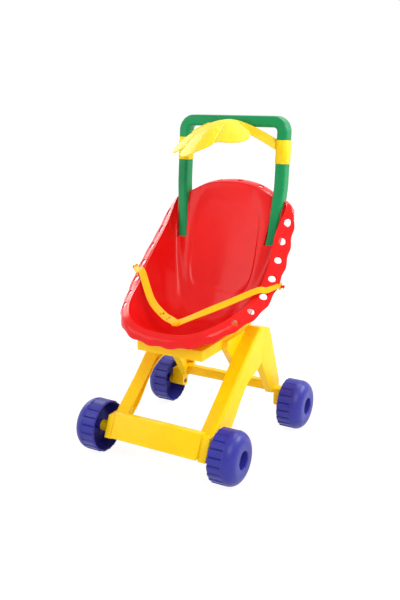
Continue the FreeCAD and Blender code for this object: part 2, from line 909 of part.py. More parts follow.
# Half of the rim, from the middle of the front lip round the right wing to the middle of
# the crest: shares of the half width, of the depth and of the height above the lip.
RIM = [
    (0.0, 0.0, 0.0),
    (0.365, 0.012, 0.014),
    (0.643, 0.074, 0.060),
    (0.852, 0.230, 0.125),
    (0.974, 0.444, 0.222),
    (1.0, 0.630, 0.412),
    (0.939, 0.807, 0.639),
    (0.939, 0.984, 0.847),
    (0.704, 0.984, 0.903),
    (0.391, 0.996, 0.977),
    (0.0, 1.0, 1.0),
]
# The wall's rise up to the rim at the same places, in shares of the height above the lip.
WALL_RISE = [
    (0.0, -0.032, 0.056),
    (0.014, -0.028, 0.056),
    (0.042, -0.028, 0.083),
    (0.074, -0.009, 0.130),
    (0.093, 0.0, 0.185),
    (0.079, -0.014, 0.333),
    (0.056, 0.032, 0.500),
    (0.056, 0.200, 0.625),
    (0.037, 0.197, 0.685),
    (0.009, 0.160, 0.750),
    (0.0, 0.150, 0.778),
]
# The brim's lean out from the rim at the same places, in shares of its width.
BRIM_LEAN = [
    (0.0, -0.30, -0.67),
    (0.05, -0.30, -0.67),
    (0.13, -0.37, -0.70),
    (0.36, -0.40, -0.63),
    (0.63, -0.27, -0.60),
    (0.77, 0.0, -0.60),
    (0.83, 0.23, -0.60),
    (0.40, 0.20, -0.33),
    (0.0, 0.73, 0.02),
    (0.0, 0.73, 0.04),
    (0.0, 0.73, 0.06),
]
HALF_LOOP = len(RIM) - 1
TIP_PLACE = 7.0
RING_POINTS = 200
RIB_SHARES = (0.0, 0.12, 0.27, 0.43, 0.58, 0.73, 0.87, 1.0)


def whole_loop(half, scale):
    """A half loop of shares, scaled and closed by its mirror image."""
    right = [Vector(x * scale.x, y * scale.y, z * scale.z) for x, y, z in half]
    return right + [Vector(-point.x, point.y, point.z) for point in reversed(right[1:-1])]


class SeatForm:
    """The seat's surfaces: a bowl of curved ribs inside the rim, and a brim outside it."""

    def __init__(self):
        rise = size("seat_crest_z") - size("seat_lip_z")
        depth = size("seat_back_y") - size("seat_front_y")
        corner = Vector(0, size("seat_front_y"), size("seat_lip_z"))
        loop = whole_loop(RIM, Vector(size("seat_half_width"), depth, rise))
        self.rim_points = [corner + point for point in loop]
        self.wall_rises = whole_loop(WALL_RISE, Vector(rise, rise, rise))
        brim = size("brim_width")
        self.brim_leans = whole_loop(BRIM_LEAN, Vector(brim, brim, brim))
        self.floor_z = size("platform_top_z") + size("play") + size("seat_wall")
        self.places = [2 * HALF_LOOP * step / RING_POINTS for step in range(RING_POINTS)]
        self.lengths = self.edge_lengths()
        waves = round(2 * (self.lengths[-1] - size("brim_first_hole")) / size("brim_hole_pitch")) / 2
        self.pitch = (self.lengths[-1] - size("brim_first_hole")) / waves

    def rim(self, place):
        """The rim at a place on the loop."""
        return closed_curve(self.rim_points, place)

    def brim(self, place, share):
        """The plain brim, a share of the way from the rim to its edge."""
        return self.rim(place) + closed_curve(self.brim_leans, place) * share

    def edge_lengths(self):
        """Length along the middle of the brim, from the wing's tip to the middle of the front."""
        steps = [TIP_PLACE * (1 - step / RING_POINTS) for step in range(RING_POINTS + 1)]
        lengths = [0.0]
        for here, there in zip(steps, steps[1:]):
            lengths.append(lengths[-1] + self.brim(here, 0.5).distanceToPoint(self.brim(there, 0.5)))
        return lengths

    def length_at(self, place):
        """Length along the brim at a place between the wing's tip and the front."""
        step = (1 - place / TIP_PLACE) * RING_POINTS
        first = min(int(step), RING_POINTS - 1)
        return self.lengths[first] + (step - first) * (self.lengths[first + 1] - self.lengths[first])

    def place_at(self, length):
        """The place on the loop at a length along the brim."""
        first = next(index for index, there in enumerate(self.lengths) if there >= length) - 1
        step = first + (length - self.lengths[first]) / (self.lengths[first + 1] - self.lengths[first])
        return TIP_PLACE * (1 - step / RING_POINTS)

    def lobe(self, place):
        """How far the brim's edge swells at a place: most beside each hole."""
        folded = min(place, 2 * HALF_LOOP - place)
        if folded > TIP_PLACE:
            return 0.0
        phase = (self.length_at(folded) - size("brim_first_hole")) / self.pitch
        return size("brim_lobe") * (0.5 + 0.5 * math.cos(2 * math.pi * phase))

    def edge(self, place):
        """The brim's scalloped edge."""
        lean = closed_curve(self.brim_leans, place)
        return self.rim(place) + lean * (1 + self.lobe(place) / lean.Length)

    def rib(self, place, share):
        """The bowl's inner face: a cubic rib from the flat floor up to the rim."""
        top = self.rim(place)
        centre = Vector(0, size("sole_centre_y"), self.floor_z)
        turn = math.atan2(top.y - centre.y, top.x - centre.x)
        outwards = Vector(math.cos(turn), math.sin(turn), 0)
        start = centre + Vector(size("sole_half_x") * outwards.x, size("sole_half_y") * outwards.y, 0)
        low = start + outwards * size("floor_reach")
        high = top - closed_curve(self.wall_rises, place)
        rest = 1 - share
        return start * rest**3 + low * (3 * rest**2 * share) + high * (3 * rest * share**2) + top * share**3

    def wall_down(self, place):
        """Unit direction down the wall from the rim."""
        return (closed_curve(self.wall_rises, place) * -1).normalize()

    def brim_under(self, place):
        """Unit direction from the brim's upper face to its lower one."""
        lean = closed_curve(self.brim_leans, place).normalize()
        down = self.wall_down(place)
        return (down - lean * down.dot(lean)).normalize()

    def rib_under(self, place, share):
        """Unit direction from the bowl's inner face to its outer one."""
        step = 0.02
        up = self.rib(place, min(share + step, 1)) - self.rib(place, max(share - step, 0))
        round_ = self.rib(place + step, share) - self.rib(place - step, share)
        normal = up.cross(round_).normalize()
        inside = Vector(0, size("sole_centre_y"), size("seat_lip_z") * 2 - self.floor_z + size("floor_reach"))
        away = self.rib(place, share) - inside
        return normal if normal.dot(away) > 0 else normal * -1

    def fold(self, place):
        """The under side of the fold between bowl and brim."""
        down = self.wall_down(place)
        lean = closed_curve(self.brim_leans, place).normalize()
        half = down.getAngle(lean) / 2
        return self.rim(place) + (down + lean).normalize() * (size("seat_wall") / math.sin(half))

    def rings(self, under):
        """The bowl's rings, from floor to rim, on its inner or its outer face."""
        rows = []
        for share in RIB_SHARES:
            row = []
            for place in self.places:
                point = self.rib(place, share)
                if under and share == 1.0:
                    point = self.fold(place)
                elif under and share == 0.0:
                    point = point - Vector(0, 0, size("seat_wall"))
                elif under:
                    point = point + self.rib_under(place, share) * size("seat_wall")
                row.append(point)
            rows.append(row)
        return [ring_wire(row) for row in rows]

    def edge_ring(self, under):
        """The brim's edge, on its upper or its lower face."""
        drop = size("brim_wall") if under else 0
        return ring_wire([self.edge(place) + self.brim_under(place) * drop for place in self.places])

    def shell(self):
        """The whole moulding before it is pierced."""
        inner = self.rings(False)
        outer = self.rings(True)
        upper_edge = self.edge_ring(False)
        lower_edge = self.edge_ring(True)
        faces = Part.makeLoft(inner, False, False).Faces + Part.makeLoft(outer, False, False).Faces
        faces.append(Part.makeRuledSurface(inner[-1].Edges[0], upper_edge.Edges[0]))
        faces.append(Part.makeRuledSurface(outer[-1].Edges[0], lower_edge.Edges[0]))
        faces.append(Part.makeRuledSurface(upper_edge.Edges[0], lower_edge.Edges[0]))
        faces.append(Part.Face(inner[0]))
        faces.append(Part.Face(outer[0]))
        return solid_of(faces)

    def peg(self):
        """Where the right belt peg leaves the brim's edge."""
        return self.edge(self.strap_place(0))

    def strap_place(self, steps):
        """The place on the loop a number of hole pitches before the belt peg's."""
        return self.place_at(size("brim_first_hole") + (3 + steps) * self.pitch)


def mirror(shape):
    """A shape's mirror image in the mid-plane."""
    return shape.mirror(Vector(0, 0, 0), Vector(1, 0, 0))


def brim_hole_tools(form):
    """Cutters for the round holes in the brim, along both sides and along the crest."""
    tools = []
    reach = size("brim_width") / 5
    for number in range(BRIM_HOLES):
        place = form.place_at(size("brim_first_hole") + number * form.pitch)
        under = form.brim_under(place)
        start = form.brim(place, 0.5) - under * reach
        tools.append(Part.makeCylinder(size("brim_hole_radius"), 2 * reach, start, under))
    tools += [mirror(tool) for tool in tools]
    crest = [form.brim(TIP_PLACE + 1 + (HALF_LOOP - TIP_PLACE - 1) * step / 40, 0.5) for step in range(41)]
    for spread in (-1.5, -0.5, 0.5, 1.5):
        x = spread * size("crest_hole_pitch") - size("crest_hole_shift")
        nearest = min(crest, key=lambda point: abs(point.x - abs(x)))
        start = Vector(x, nearest.y, nearest.z - reach)
        tools.append(Part.makeCylinder(size("crest_hole_radius"), 2 * reach, start))
    return tools


def slot_tool():
    """The cutter for the open-topped slot that the right leg of the handle stands in."""
    half = size("grip_width") / 2 + size("slot_gap")
    low = Vector(size("leg_bend_x"), 0, size("slot_floor_z"))
    bend = Vector(size("leg_top_x"), 0, size("leg_straight_z"))
    high = Vector(size("leg_top_x"), 0, size("bar_z"))
    shift = Vector(half, 0, 0)
    ring = [low - shift, low + shift, bend + shift, high + shift, high - shift, bend - shift, low - shift]
    face = Part.Face(Part.makePolygon(ring))
    face.translate(Vector(0, size("leg_foot_y"), 0))
    return face.extrude(Vector(0, size("seat_back_y"), 0))


def peg_shape(form):
    """The right belt peg: a short headed stub."""
    edge = form.peg()
    root = edge - Vector(size("peg_radius") * 2, 0, 0)
    length = size("peg_radius") * 2 + size("peg_length")
    along = Vector(1, 0, 0)
    stub = Part.makeCylinder(size("peg_radius"), length, root, along)
    head = Part.makeCylinder(size("peg_radius") * 1.6, size("strap_thick"), root + along * length, along)
    return stub.fuse(head)


def stud_shapes():
    """The studs under the seat that pass through the platform."""
    top = size("platform_top_z") + size("play") + size("seat_wall") / 2
    length = size("stud_length") + size("seat_wall") / 2
    studs = []
    for x, y in stud_places():
        foot = Vector(amount(x), amount(y), top - length)
        studs.append(Part.makeCylinder(size("stud_radius"), length, foot))
    return studs


def make_seat(form):
    """The bucket seat: one thin moulding with pierced brim, handle slots, pegs and studs."""
    slot = slot_tool()
    shell = form.shell().cut(brim_hole_tools(form) + [slot, mirror(slot)])
    peg = peg_shape(form)
    return free_piece("seat_shell", shell.fuse([peg, mirror(peg)] + stud_shapes()))


def make_retainer(label, x, y):
    """A push-on cap that grips a seat stud under the platform."""
    body = new_body(label, x=x, y="%s - wheelbase / 2" % y, z="platform_top_z - platform_wall - retainer_height")
    pad(body, circles(body, "XY_Plane", "0", [("0", "0")], "retainer_radius"), "retainer_height")
    bore = circles(body, "XY_Plane", "retainer_height", [("0", "0")], "stud_radius + seat_gap")
    pocket(body, bore, "retainer_height")
    return body


# ---------------------------------------------------------------- visor


def visor_height(x, y):
    """The visor's upper face over a point: it bows to the sides, droops forwards and twists."""
    forward = max((size("visor_crown_y") - y) / size("visor_reach"), 0)
    aside = x / collar_face()
    droop = size("visor_droop") * forward**2 - size("visor_twist") * forward * aside
    return size("visor_crown_z") - droop - size("visor_bow") * abs(aside) ** 1.6


def collar_face():
    """Distance from the mid-plane to a collar's inner face."""
    return size("leg_top_x") - size("grip_width") / 2 - size("collar_gap") - size("collar_wall")


def petal_reach(turn):
    """How far the petals' edge lies from the crown, at a turn in degrees from straight ahead."""
    turn = abs(turn)
    centre = size("centre_petal")
    if turn < centre:
        return size("visor_reach") - (size("visor_reach") - size("visor_notch")) * (turn / centre) ** 2
    share = (turn - centre) / (size("side_petal") - centre)
    straight = size("visor_notch") * (1 - share) ** 1.3 + size("petal_end") * share
    return straight + size("petal_bulge") * math.sin(math.pi * share)


def petal_rows(steps, rays):
    """Rows of points over the petals, from the crown out to their edge."""
    rows = []
    for step in range(steps + 1):
        share = step / steps
        row = []
        for ray in range(rays + 1):
            turn = size("side_petal") * (2 * ray / rays - 1)
            angle = math.radians(turn)
            root = Vector(size("petal_root") * math.sin(angle), size("visor_crown_y") + size("visor_sheet"), 0)
            reach = petal_reach(turn)
            edge = Vector(reach * math.sin(angle), size("visor_crown_y") - reach * math.cos(angle), 0)
            flat = root * (1 - share) + edge * share
            row.append(Vector(flat.x, flat.y, visor_height(flat.x, flat.y)))
        rows.append(row)
    return rows


def band_rows(steps):
    """Rows of points over the band that joins the collars."""
    face = collar_face() + size("collar_wall") / 2
    rows = []
    for shift in (0, 1 / 3, 2 / 3, 1):
        row = []
        for step in range(steps + 1):
            x = face * (2 * step / steps - 1)
            y = size("visor_crown_y") + size("visor_sweep") * (x / face) ** 2 + shift * size("visor_band")
            row.append(Vector(x, y, visor_height(x, max(y, size("visor_crown_y")))))
        rows.append(row)
    return rows


def collar_shape():
    """The right collar: a sleeve round the handle's leg."""
    low = size("collar_base_z")
    foot = Vector(size("leg_top_x"), leg_y(low), low)
    top = Vector(size("leg_top_x"), leg_y(low + size("collar_height")), low + size("collar_height"))
    axis = (top - foot).normalize()
    across = Vector(1, 0, 0)
    along = axis.cross(across)
    width = size("grip_width") + 2 * size("collar_gap")
    depth = size("grip_depth") + 2 * size("collar_gap")
    wall = 2 * size("collar_wall")
    corner = size("grip_corner") + size("collar_gap")
    outer = rounded_section(foot, across, along, width + wall, depth + wall, corner + size("collar_wall"))
    inner = rounded_section(foot, across, along, width, depth, corner)
    rise = top - foot
    return Part.Face(outer).extrude(rise).cut(Part.Face(inner).extrude(rise))


def make_visor():
    """The sun visor: three petals, a band and two collars moulded in one."""
    petals = sheet_solid(petal_rows(8, 60), size("visor_sheet"))
    band = sheet_solid(band_rows(16), size("visor_sheet"))
    collar = collar_shape()
    return free_piece("visor", band.fuse([petals, collar, mirror(collar)]))


# ---------------------------------------------------------------- belt


# Each strap's middle line over the lap, from beside its crossing of the rim to near the point:
# shares of the way across, and of the straight line's rise and depth, at each station.
STRAP_SLACK = {
    "left": [(0.619, 0.494, 0.371), (0.283, 0.195, 0.097)],
    "right": [(0.700, 0.580, 0.690), (0.380, 0.190, 0.370)],
}
# Where each strap crosses the rim and lies on the brim, in hole pitches before its peg.
STRAP_CROSSING = {"left": (1.0, 0.65, 0.30), "right": (1.2, 0.80, 0.36)}


def lap_facing(crossing, point):
    """The direction that both straps face where they meet."""
    run = crossing - point
    return Vector(0, -run.z, run.y).normalize()


def strap_stations(form, name, lift):
    """A strap's places, crosswise directions and shares of its width, from point to peg."""
    over = size("strap_lift") + size("strap_thick") / 2
    point = Vector(0, size("belt_point_y"), size("belt_point_z"))
    over_rim, over_brim, near_edge = STRAP_CROSSING[name]
    place = form.strap_place(over_rim)
    crossing = form.rim(place) + Vector(0, 0, over)
    run = crossing - point
    facing = lap_facing(crossing, point)
    start = point + facing * lift
    slack = [
        Vector(point.x + run.x * across, point.y + run.y * back, point.z + run.z * rise)
        for across, back, rise in reversed(STRAP_SLACK[name])
    ]
    lead = slack[0] - start
    lead = (lead - facing * facing.dot(lead)).normalize()
    aside = facing.cross(lead)
    half = size("strap_width") / 2
    stations = [(start + lead * half * step, aside, 1.0) for step in (-1, 0, 1.5)]
    along_rim = (form.rim(place - 0.1) - form.rim(place + 0.1)).normalize()
    if along_rim.dot(aside) < 0:
        along_rim = along_rim * -1
    stations += [(where, along_rim, 1.0) for where in slack]
    stations.append((crossing, along_rim, 1.0))
    for steps, share, narrowing in ((over_brim, 0.4, 0.9), (near_edge, 0.8, 0.7)):
        place = form.strap_place(steps)
        stations.append((form.brim(place, share) - form.brim_under(place) * over, along_rim, narrowing))
    eye = size("eye_radius")
    outer = form.peg() + Vector(size("peg_standoff") + size("strap_thick") / 2, -eye / 4, eye * 0.6)
    stations.append((outer, Vector(0, math.copysign(1, along_rim.y), 0), 0.6))
    return stations


def ribbon(stations, width, thickness):
    """A flat strap carried along a centre line, its width along a given way at each station."""
    sections = []
    for index, (centre, crosswise, share) in enumerate(stations):
        before = stations[max(index - 1, 0)][0]
        after = stations[min(index + 1, len(stations) - 1)][0]
        tangent = (after - before).normalize()
        aside = (crosswise - tangent * tangent.dot(crosswise)).normalize()
        outward = tangent.cross(aside)
        u = aside * (width * share / 2)
        v = outward * (thickness / 2)
        ring = [centre - u - v, centre + u - v, centre + u + v, centre - u + v, centre - u - v]
        sections.append(Part.makePolygon(ring))
    return Part.makeLoft(sections, True, True)


def strap_eye(form):
    """The eye at the right strap's outer end, and the hole through it for the peg."""
    peg = form.peg()
    along = Vector(1, 0, 0)
    eye = Part.makeCylinder(size("eye_radius"), size("strap_thick"), peg + along * size("peg_standoff"), along)
    root = peg - along * size("peg_radius") * 2
    hole = Part.makeCylinder(size("peg_radius") + size("strap_eye_gap"), size("brim_width"), root, along)
    return eye, hole


def make_belt(form):
    """Two straps that meet in a point over the lap; the left one buttons over the right."""
    eye, hole = strap_eye(form)
    button_radius = size("peg_radius")
    for name, side in SIDES.items():
        lift = size("strap_thick") + size("seat_gap") if side < 0 else 0.0
        stations = strap_stations(form, name, lift)
        strap = ribbon(stations, size("strap_width"), size("strap_thick")).fuse(eye).cut(hole)
        centre = stations[1][0]
        facing = lap_facing(stations[-4][0], centre)
        if side < 0:
            strap = mirror(strap)
            cut = size("strap_eye_gap") + button_radius
            strap = strap.cut(Part.makeCylinder(cut, size("strap_width"), centre - facing * size("tenon"), facing))
        else:
            length = 2 * size("strap_thick") + size("peg_standoff")
            button = Part.makeCylinder(button_radius, length, centre, facing)
            strap = strap.fuse(button)
        free_piece("belt_strap_" + name, strap)


# ---------------------------------------------------------------- the whole stroller


def write_parts():
    """Check every object, then write each piece to its own file."""
    DOC.recompute()
    for obj in DOC.Objects:
        if "Invalid" in obj.State or "Error" in obj.State:
            raise ValueError("%s failed: %s" % (obj.Label, obj.State))
    os.makedirs("parts", exist_ok=True)
    for label, piece in PIECES.items():
        shape = piece.Shape
        if shape.isNull() or not shape.isValid() or not shape.Solids:
            raise ValueError(label + " has no valid solid")
        shape.exportStep("parts/%s.step" % label)
        box = shape.BoundBox
        print(
            "%-24s solids %d  volume %9.0f  x %.1f..%.1f  y %.1f..%.1f  z %.1f..%.1f"
            % (label, len(shape.Solids), shape.Volume, box.XMin, box.XMax, box.YMin, box.YMax, box.ZMin, box.ZMax)
        )


def make_stroller():
    """Build every piece in the order in which the toy is put together."""
    for name, side in SIDES.items():
        make_side_frame(name, side)
        for place, centre in SCREW_PLACES.items():
            make_screw("frame_screw_%s_%s" % (place, name), side, centre)
    make_front_crossbar()
    make_rear_crossbar()
    make_platform()
    make_running_gear()
    form = SeatForm()
    make_seat(form)
    for number, (x, y) in enumerate(stud_places(), start=1):
        make_retainer("seat_retainer_%d" % number, x, y)
    make_handle()
    make_visor()
    make_belt(form)
    write_parts()


make_stroller()
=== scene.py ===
"""Looks of a toy doll stroller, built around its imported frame.

Moulded yellow frames, violet wheels, a pierced red seat, a green push handle, a petal visor and a soft
belt. +Z is up and the doll faces -Y. Fields in millimetres are bare numbers, with y counted from the
front axle, whose place is read from the frame; fields that are multiplied by MM are in metres, and so
are the lamps, the floor and the camera's place.
"""

import json
import logging
import math
from dataclasses import dataclass, field
from enum import Enum
from typing import Sequence, Union

import bmesh
import bpy
import numpy as np
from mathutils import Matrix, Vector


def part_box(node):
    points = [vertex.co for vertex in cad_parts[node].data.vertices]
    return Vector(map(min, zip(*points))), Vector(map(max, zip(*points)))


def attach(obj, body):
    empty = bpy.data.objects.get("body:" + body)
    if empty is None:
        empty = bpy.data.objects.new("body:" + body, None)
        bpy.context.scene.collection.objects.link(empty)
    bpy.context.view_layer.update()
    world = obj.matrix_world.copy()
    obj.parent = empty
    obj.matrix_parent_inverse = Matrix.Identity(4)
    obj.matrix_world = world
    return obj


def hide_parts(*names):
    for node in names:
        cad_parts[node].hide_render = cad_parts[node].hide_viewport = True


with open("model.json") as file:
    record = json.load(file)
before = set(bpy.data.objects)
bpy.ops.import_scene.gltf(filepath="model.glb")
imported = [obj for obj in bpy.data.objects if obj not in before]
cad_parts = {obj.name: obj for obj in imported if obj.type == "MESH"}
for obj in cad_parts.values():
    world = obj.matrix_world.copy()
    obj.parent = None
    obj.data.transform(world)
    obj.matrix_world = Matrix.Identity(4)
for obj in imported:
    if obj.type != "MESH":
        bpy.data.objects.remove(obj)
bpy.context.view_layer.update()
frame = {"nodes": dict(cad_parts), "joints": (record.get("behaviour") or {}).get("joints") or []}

LOG = logging.getLogger("doll_stroller")
MM = 0.001
WELD = 0.001 * MM
MIRROR = np.array([-1.0, 1.0, 1.0])

Array = np.ndarray
Colour = tuple[float, float, float]
Triple = tuple[float, float, float]
Rows = tuple[tuple[float, ...], ...]
Value = Union[bpy.types.NodeSocket, float, Sequence[float]]


class Side(Enum):
    """The two sides of the stroller, as the sign of x."""

    LEFT = -1
    RIGHT = 1

    @property
    def word(self) -> str:
        """The side's name as the nodes spell it."""
        return self.name.lower()


class Axle(Enum):
    """The two axles, as the nodes spell them."""

    FRONT = "front"
    REAR = "rear"


class Body(Enum):
    """The bodies that pieces ride on, apart from the wheels' own."""

    CHASSIS = "chassis"
    VISOR = "visor_body"
    BELT = "belt_body"


# ---------------------------------------------------------------- shapes as arrays


@dataclass
class Shape:
    """A mesh held as arrays: points (n, 3) and quads (m, 4) of indices."""

    points: Array
    quads: Array

    def joined(self, *others: "Shape") -> "Shape":
        """This shape and others as one list of points and quads.

        Args:
            others: the shapes to add, in order.

        Returns:
            One shape that holds them all.
        """
        shapes = (self, *others)
        starts = np.cumsum([0] + [len(shape.points) for shape in shapes[:-1]])
        quads = [shape.quads + start for shape, start in zip(shapes, starts)]
        return Shape(np.concatenate([shape.points for shape in shapes]), np.concatenate(quads))

    def flipped(self) -> "Shape":
        """The same points with every face turned over."""
        return Shape(self.points, self.quads[:, ::-1])

    def mirrored(self) -> "Shape":
        """The mirror image in x = 0, with its faces turned to point outwards again."""
        return Shape(self.points * MIRROR, self.quads[:, ::-1])

    def on_both_sides(self) -> "Shape":
        """This shape and its mirror image as one."""
        return self.joined(self.mirrored())


def unit(vectors: Array) -> Array:
    """Vectors divided by their own lengths.

    Args:
        vectors: an array whose last axis is x, y, z.

    Returns:
        The same array with every vector one long.
    """
    length = np.linalg.norm(vectors, axis=-1, keepdims=True)
    return vectors / np.maximum(length, 1e-12)


def full_turn(count: int) -> Array:
    """Evenly spaced angles round a circle: k / count of a whole turn, in radians."""
    return np.arange(count) / count * 2 * math.pi


def smooth_step(value: Array, low: float, high: float) -> Array:
    """The cubic 3 s^2 - 2 s^3 of the share s of the way from low to high, level outside."""
    share = np.clip((value - low) / (high - low), 0, 1)
    return share * share * (3 - 2 * share)


def grid_shape(grid: Array, wrap_rows: bool = False, wrap_columns: bool = False) -> Shape:
    """Join a grid of points into quads: each cell (i, j) is i..i+1 by j..j+1, wrapping where asked.

    Args:
        grid: points of shape (rows, columns, 3).
        wrap_rows: whether the last row joins the first.
        wrap_columns: whether the last column joins the first.

    Returns:
        The shape, with its quads turned so that a closed one encloses a positive volume.
    """
    rows, columns = grid.shape[:2]
    i = np.arange(rows if wrap_rows else rows - 1)[:, None]
    j = np.arange(columns if wrap_columns else columns - 1)[None, :]
    here = i * columns + j
    right = i * columns + (j + 1) % columns
    up = ((i + 1) % rows) * columns + j
    across = ((i + 1) % rows) * columns + (j + 1) % columns
    quads = np.stack([here, right, across, up], axis=-1).reshape(-1, 4)
    shape = Shape(grid.reshape(-1, 3), quads)
    return shape if volume(shape) >= 0 else shape.flipped()


def volume(shape: Shape) -> float:
    """Six times the signed volume: the sum over triangles of a . (b x c), both halves of each quad."""
    a, b, c, d = (shape.points[shape.quads[:, corner]] for corner in range(4))
    return float((a * np.cross(b, c)).sum() + (a * np.cross(c, d)).sum())


def closed_tube(loops: Array) -> Shape:
    """Close rows of loops with a pole at each end, each pole the middle of its end loop.

    Args:
        loops: points of shape (rows, columns, 3).

    Returns:
        The closed shape.
    """
    first = np.broadcast_to(loops[:1].mean(axis=1, keepdims=True), loops[:1].shape)
    last = np.broadcast_to(loops[-1:].mean(axis=1, keepdims=True), loops[-1:].shape)
    return grid_shape(np.concatenate([first, loops, last]), wrap_columns=True)


def catmull_rom(points: Sequence[Array], step: Array) -> Array:
    """The cubic from b to c whose end slopes are half of c - a and half of d - b.

    Args:
        points: the four points a, b, c and d of each span.
        step: how far along its span each point lies, from 0 to 1.

    Returns:
        One point for each step.
    """
    a, b, c, d = points
    bend = a * 2 - b * 5 + c * 4 - d
    twist = b * 3 - a - c * 3 + d
    return (b * 2 + (c - a) * step + bend * step**2 + twist * step**3) * 0.5


def closed_curve(points: Array, places: Array) -> Array:
    """Points on the closed Catmull-Rom cubic through a ring of points.

    Args:
        points: the ring, (n, 3).
        places: where to read it; whole numbers are the ring's own points.

    Returns:
        One point for each place.
    """
    first = np.floor(places).astype(int)
    spans = [points[(first + shift) % len(points)] for shift in (-1, 0, 1, 2)]
    return catmull_rom(spans, (places - first)[..., None])


def open_curve(points: Array, count: int) -> Array:
    """Evenly counted points on the Catmull-Rom cubic through a row of points, its ends carried on.

    Args:
        points: the row, (n, k).
        count: how many points to return.

    Returns:
        Points of shape (count, k).
    """
    held = np.concatenate([points[:1] * 2 - points[1:2], points, points[-1:] * 2 - points[-2:-1]])
    places = np.linspace(0, len(points) - 1 - 1e-9, count)
    first = np.floor(places).astype(int)
    return catmull_rom([held[first + shift] for shift in range(4)], (places - first)[:, None])


def rounded_ring(width: float, depth: float, corner: float, count: int) -> Array:
    """A rounded rectangle: the corner circle's point plus the sign-wise centre of that corner.

    Args:
        width: full size along the first axis.
        depth: full size along the second axis.
        corner: radius of the corners.
        count: points round the ring, a multiple of four.

    Returns:
        Points of shape (count, 2), counter-clockwise.
    """
    quarter = count // 4
    turn = np.arange(quarter) / (quarter - 1) * (math.pi / 2)
    arc = np.stack([np.cos(turn), np.sin(turn)], axis=1) * corner
    reach = np.array([width / 2 - corner, depth / 2 - corner])
    quarters = []
    for number, sign in enumerate(((1, 1), (-1, 1), (-1, -1), (1, -1))):
        angle = number * math.pi / 2
        rotation = np.array([[math.cos(angle), math.sin(angle)], [-math.sin(angle), math.cos(angle)]])
        quarters.append(arc @ rotation + reach * np.array(sign))
    return np.concatenate(quarters)


def swept(path: Array, ring: Array, across: Array, along: Array) -> Array:
    """A profile carried along a path: each loop is path + u * across + v * along.

    Args:
        path: points of shape (rows, 3).
        ring: profile of shape (columns, 2), or (rows, columns, 2) where it changes.
        across: direction of the profile's first axis at each row.
        along: direction of its second axis at each row.

    Returns:
        A grid of shape (rows, columns, 3).
    """
    ring = np.broadcast_to(ring, (len(path),) + ring.shape[-2:])
    return path[:, None] + ring[..., :1] * across[:, None] + ring[..., 1:] * along[:, None]


def turned(profile: Array, centre: Array, count: int) -> Array:
    """A profile of (x, radius) turned about the x axis: y = r cos t, z = r sin t.

    Args:
        profile: points of shape (rows, 2), or rings of shape (rows, count, 2) that change round the turn.
        centre: where the axis lies.
        count: points round each ring.

    Returns:
        A grid of shape (rows, count, 3).
    """
    turn = full_turn(count)
    rings = profile if profile.ndim == 3 else np.repeat(profile[:, None], count, axis=1)
    x, radius = rings[..., 0], rings[..., 1]
    return np.stack([x, radius * np.cos(turn), radius * np.sin(turn)], axis=-1) + centre


def turned_bar(centre: Array, axis: Array, outline: Array, count: int, start: Triple) -> Shape:
    """A closed bar about any axis: centre + height * axis + radius * (side cos t + other sin t).

    Args:
        centre: a point of the axis, at height 0.
        axis: the axis's direction, one long.
        outline: the bar's heights and radii, (rows, 2).
        count: points round each loop.
        start: a direction off the axis; each loop starts square to it.

    Returns:
        The closed bar.
    """
    side = unit(np.cross(axis, np.array(start)))
    other = np.cross(axis, side)
    turn = full_turn(count)
    circle = np.cos(turn)[:, None] * side + np.sin(turn)[:, None] * other
    heights, radii = outline[:, 0, None, None], outline[:, 1, None, None]
    return closed_tube(centre + heights * axis + radii * circle)


# ---------------------------------------------------------------- putting pieces into the scene


def new_object(name: str, data: bpy.types.ID) -> bpy.types.Object:
    """Make an object of some data and link it to the scene.

    Args:
        name: the object's name.
        data: a mesh, a lamp or a camera.

    Returns:
        The object.
    """
    made = bpy.data.objects.new(name, data)
    bpy.context.scene.collection.objects.link(made)
    return made


def mesh_from(name: str, shape: Shape) -> bpy.types.Object:
    """Make an object of a shape, with coincident points welded.

    Args:
        name: the piece's name.
        shape: its points and quads.

    Returns:
        The object, linked to the scene.
    """
    mesh = bpy.data.meshes.new(name)
    mesh.vertices.add(len(shape.points))
    mesh.vertices.foreach_set("co", shape.points.astype(np.float32).ravel())
    mesh.loops.add(shape.quads.size)
    mesh.loops.foreach_set("vertex_index", shape.quads.astype(np.int32).ravel())
    mesh.polygons.add(len(shape.quads))
    mesh.polygons.foreach_set("loop_start", np.arange(0, shape.quads.size, 4, dtype=np.int32))
    mesh.update(calc_edges=True)
    mesh.validate()
    weld(mesh, WELD)
    return new_object(name, mesh)


def weld(mesh: bpy.types.Mesh, distance: float) -> None:
    """Merge a mesh's coincident points and drop faces that lose their area.

    Args:
        mesh: the mesh to mend.
        distance: how near two points have to be to be merged.
    """
    work = bmesh.new()
    work.from_mesh(mesh)
    bmesh.ops.remove_doubles(work, verts=work.verts, dist=distance)
    bmesh.ops.dissolve_degenerate(work, edges=work.edges, dist=distance / 10)
    work.to_mesh(mesh)
    work.free()


def shade(piece: bpy.types.Object, crease_degrees: float) -> None:
    """Shade a piece smoothly, with a crease wherever faces meet at more than an angle."""
    piece.data.shade_smooth()
    piece.data.set_sharp_from_angle(angle=math.radians(crease_degrees))


def apply_modifiers(piece: bpy.types.Object) -> None:
    """Replace a piece's mesh by what its modifiers make of it.

    Args:
        piece: the object, which keeps no modifiers.
    """
    graph = bpy.context.evaluated_depsgraph_get()
    result = bpy.data.meshes.new_from_object(piece.evaluated_get(graph))
    piece.modifiers.clear()
    piece.data = result


def place_piece(
    piece: bpy.types.Object, material: bpy.types.Material, body: Body | str, node: str
) -> None:
    """Dress a piece, let it ride on its body in place of a frame node.

    Args:
        piece: the object.
        material: its material.
        body: the body that it moves with.
        node: the frame node that it replaces.
    """
    piece.data.materials.clear()
    piece.data.materials.append(material)
    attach(piece, body.value if isinstance(body, Body) else body)
    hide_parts(node)


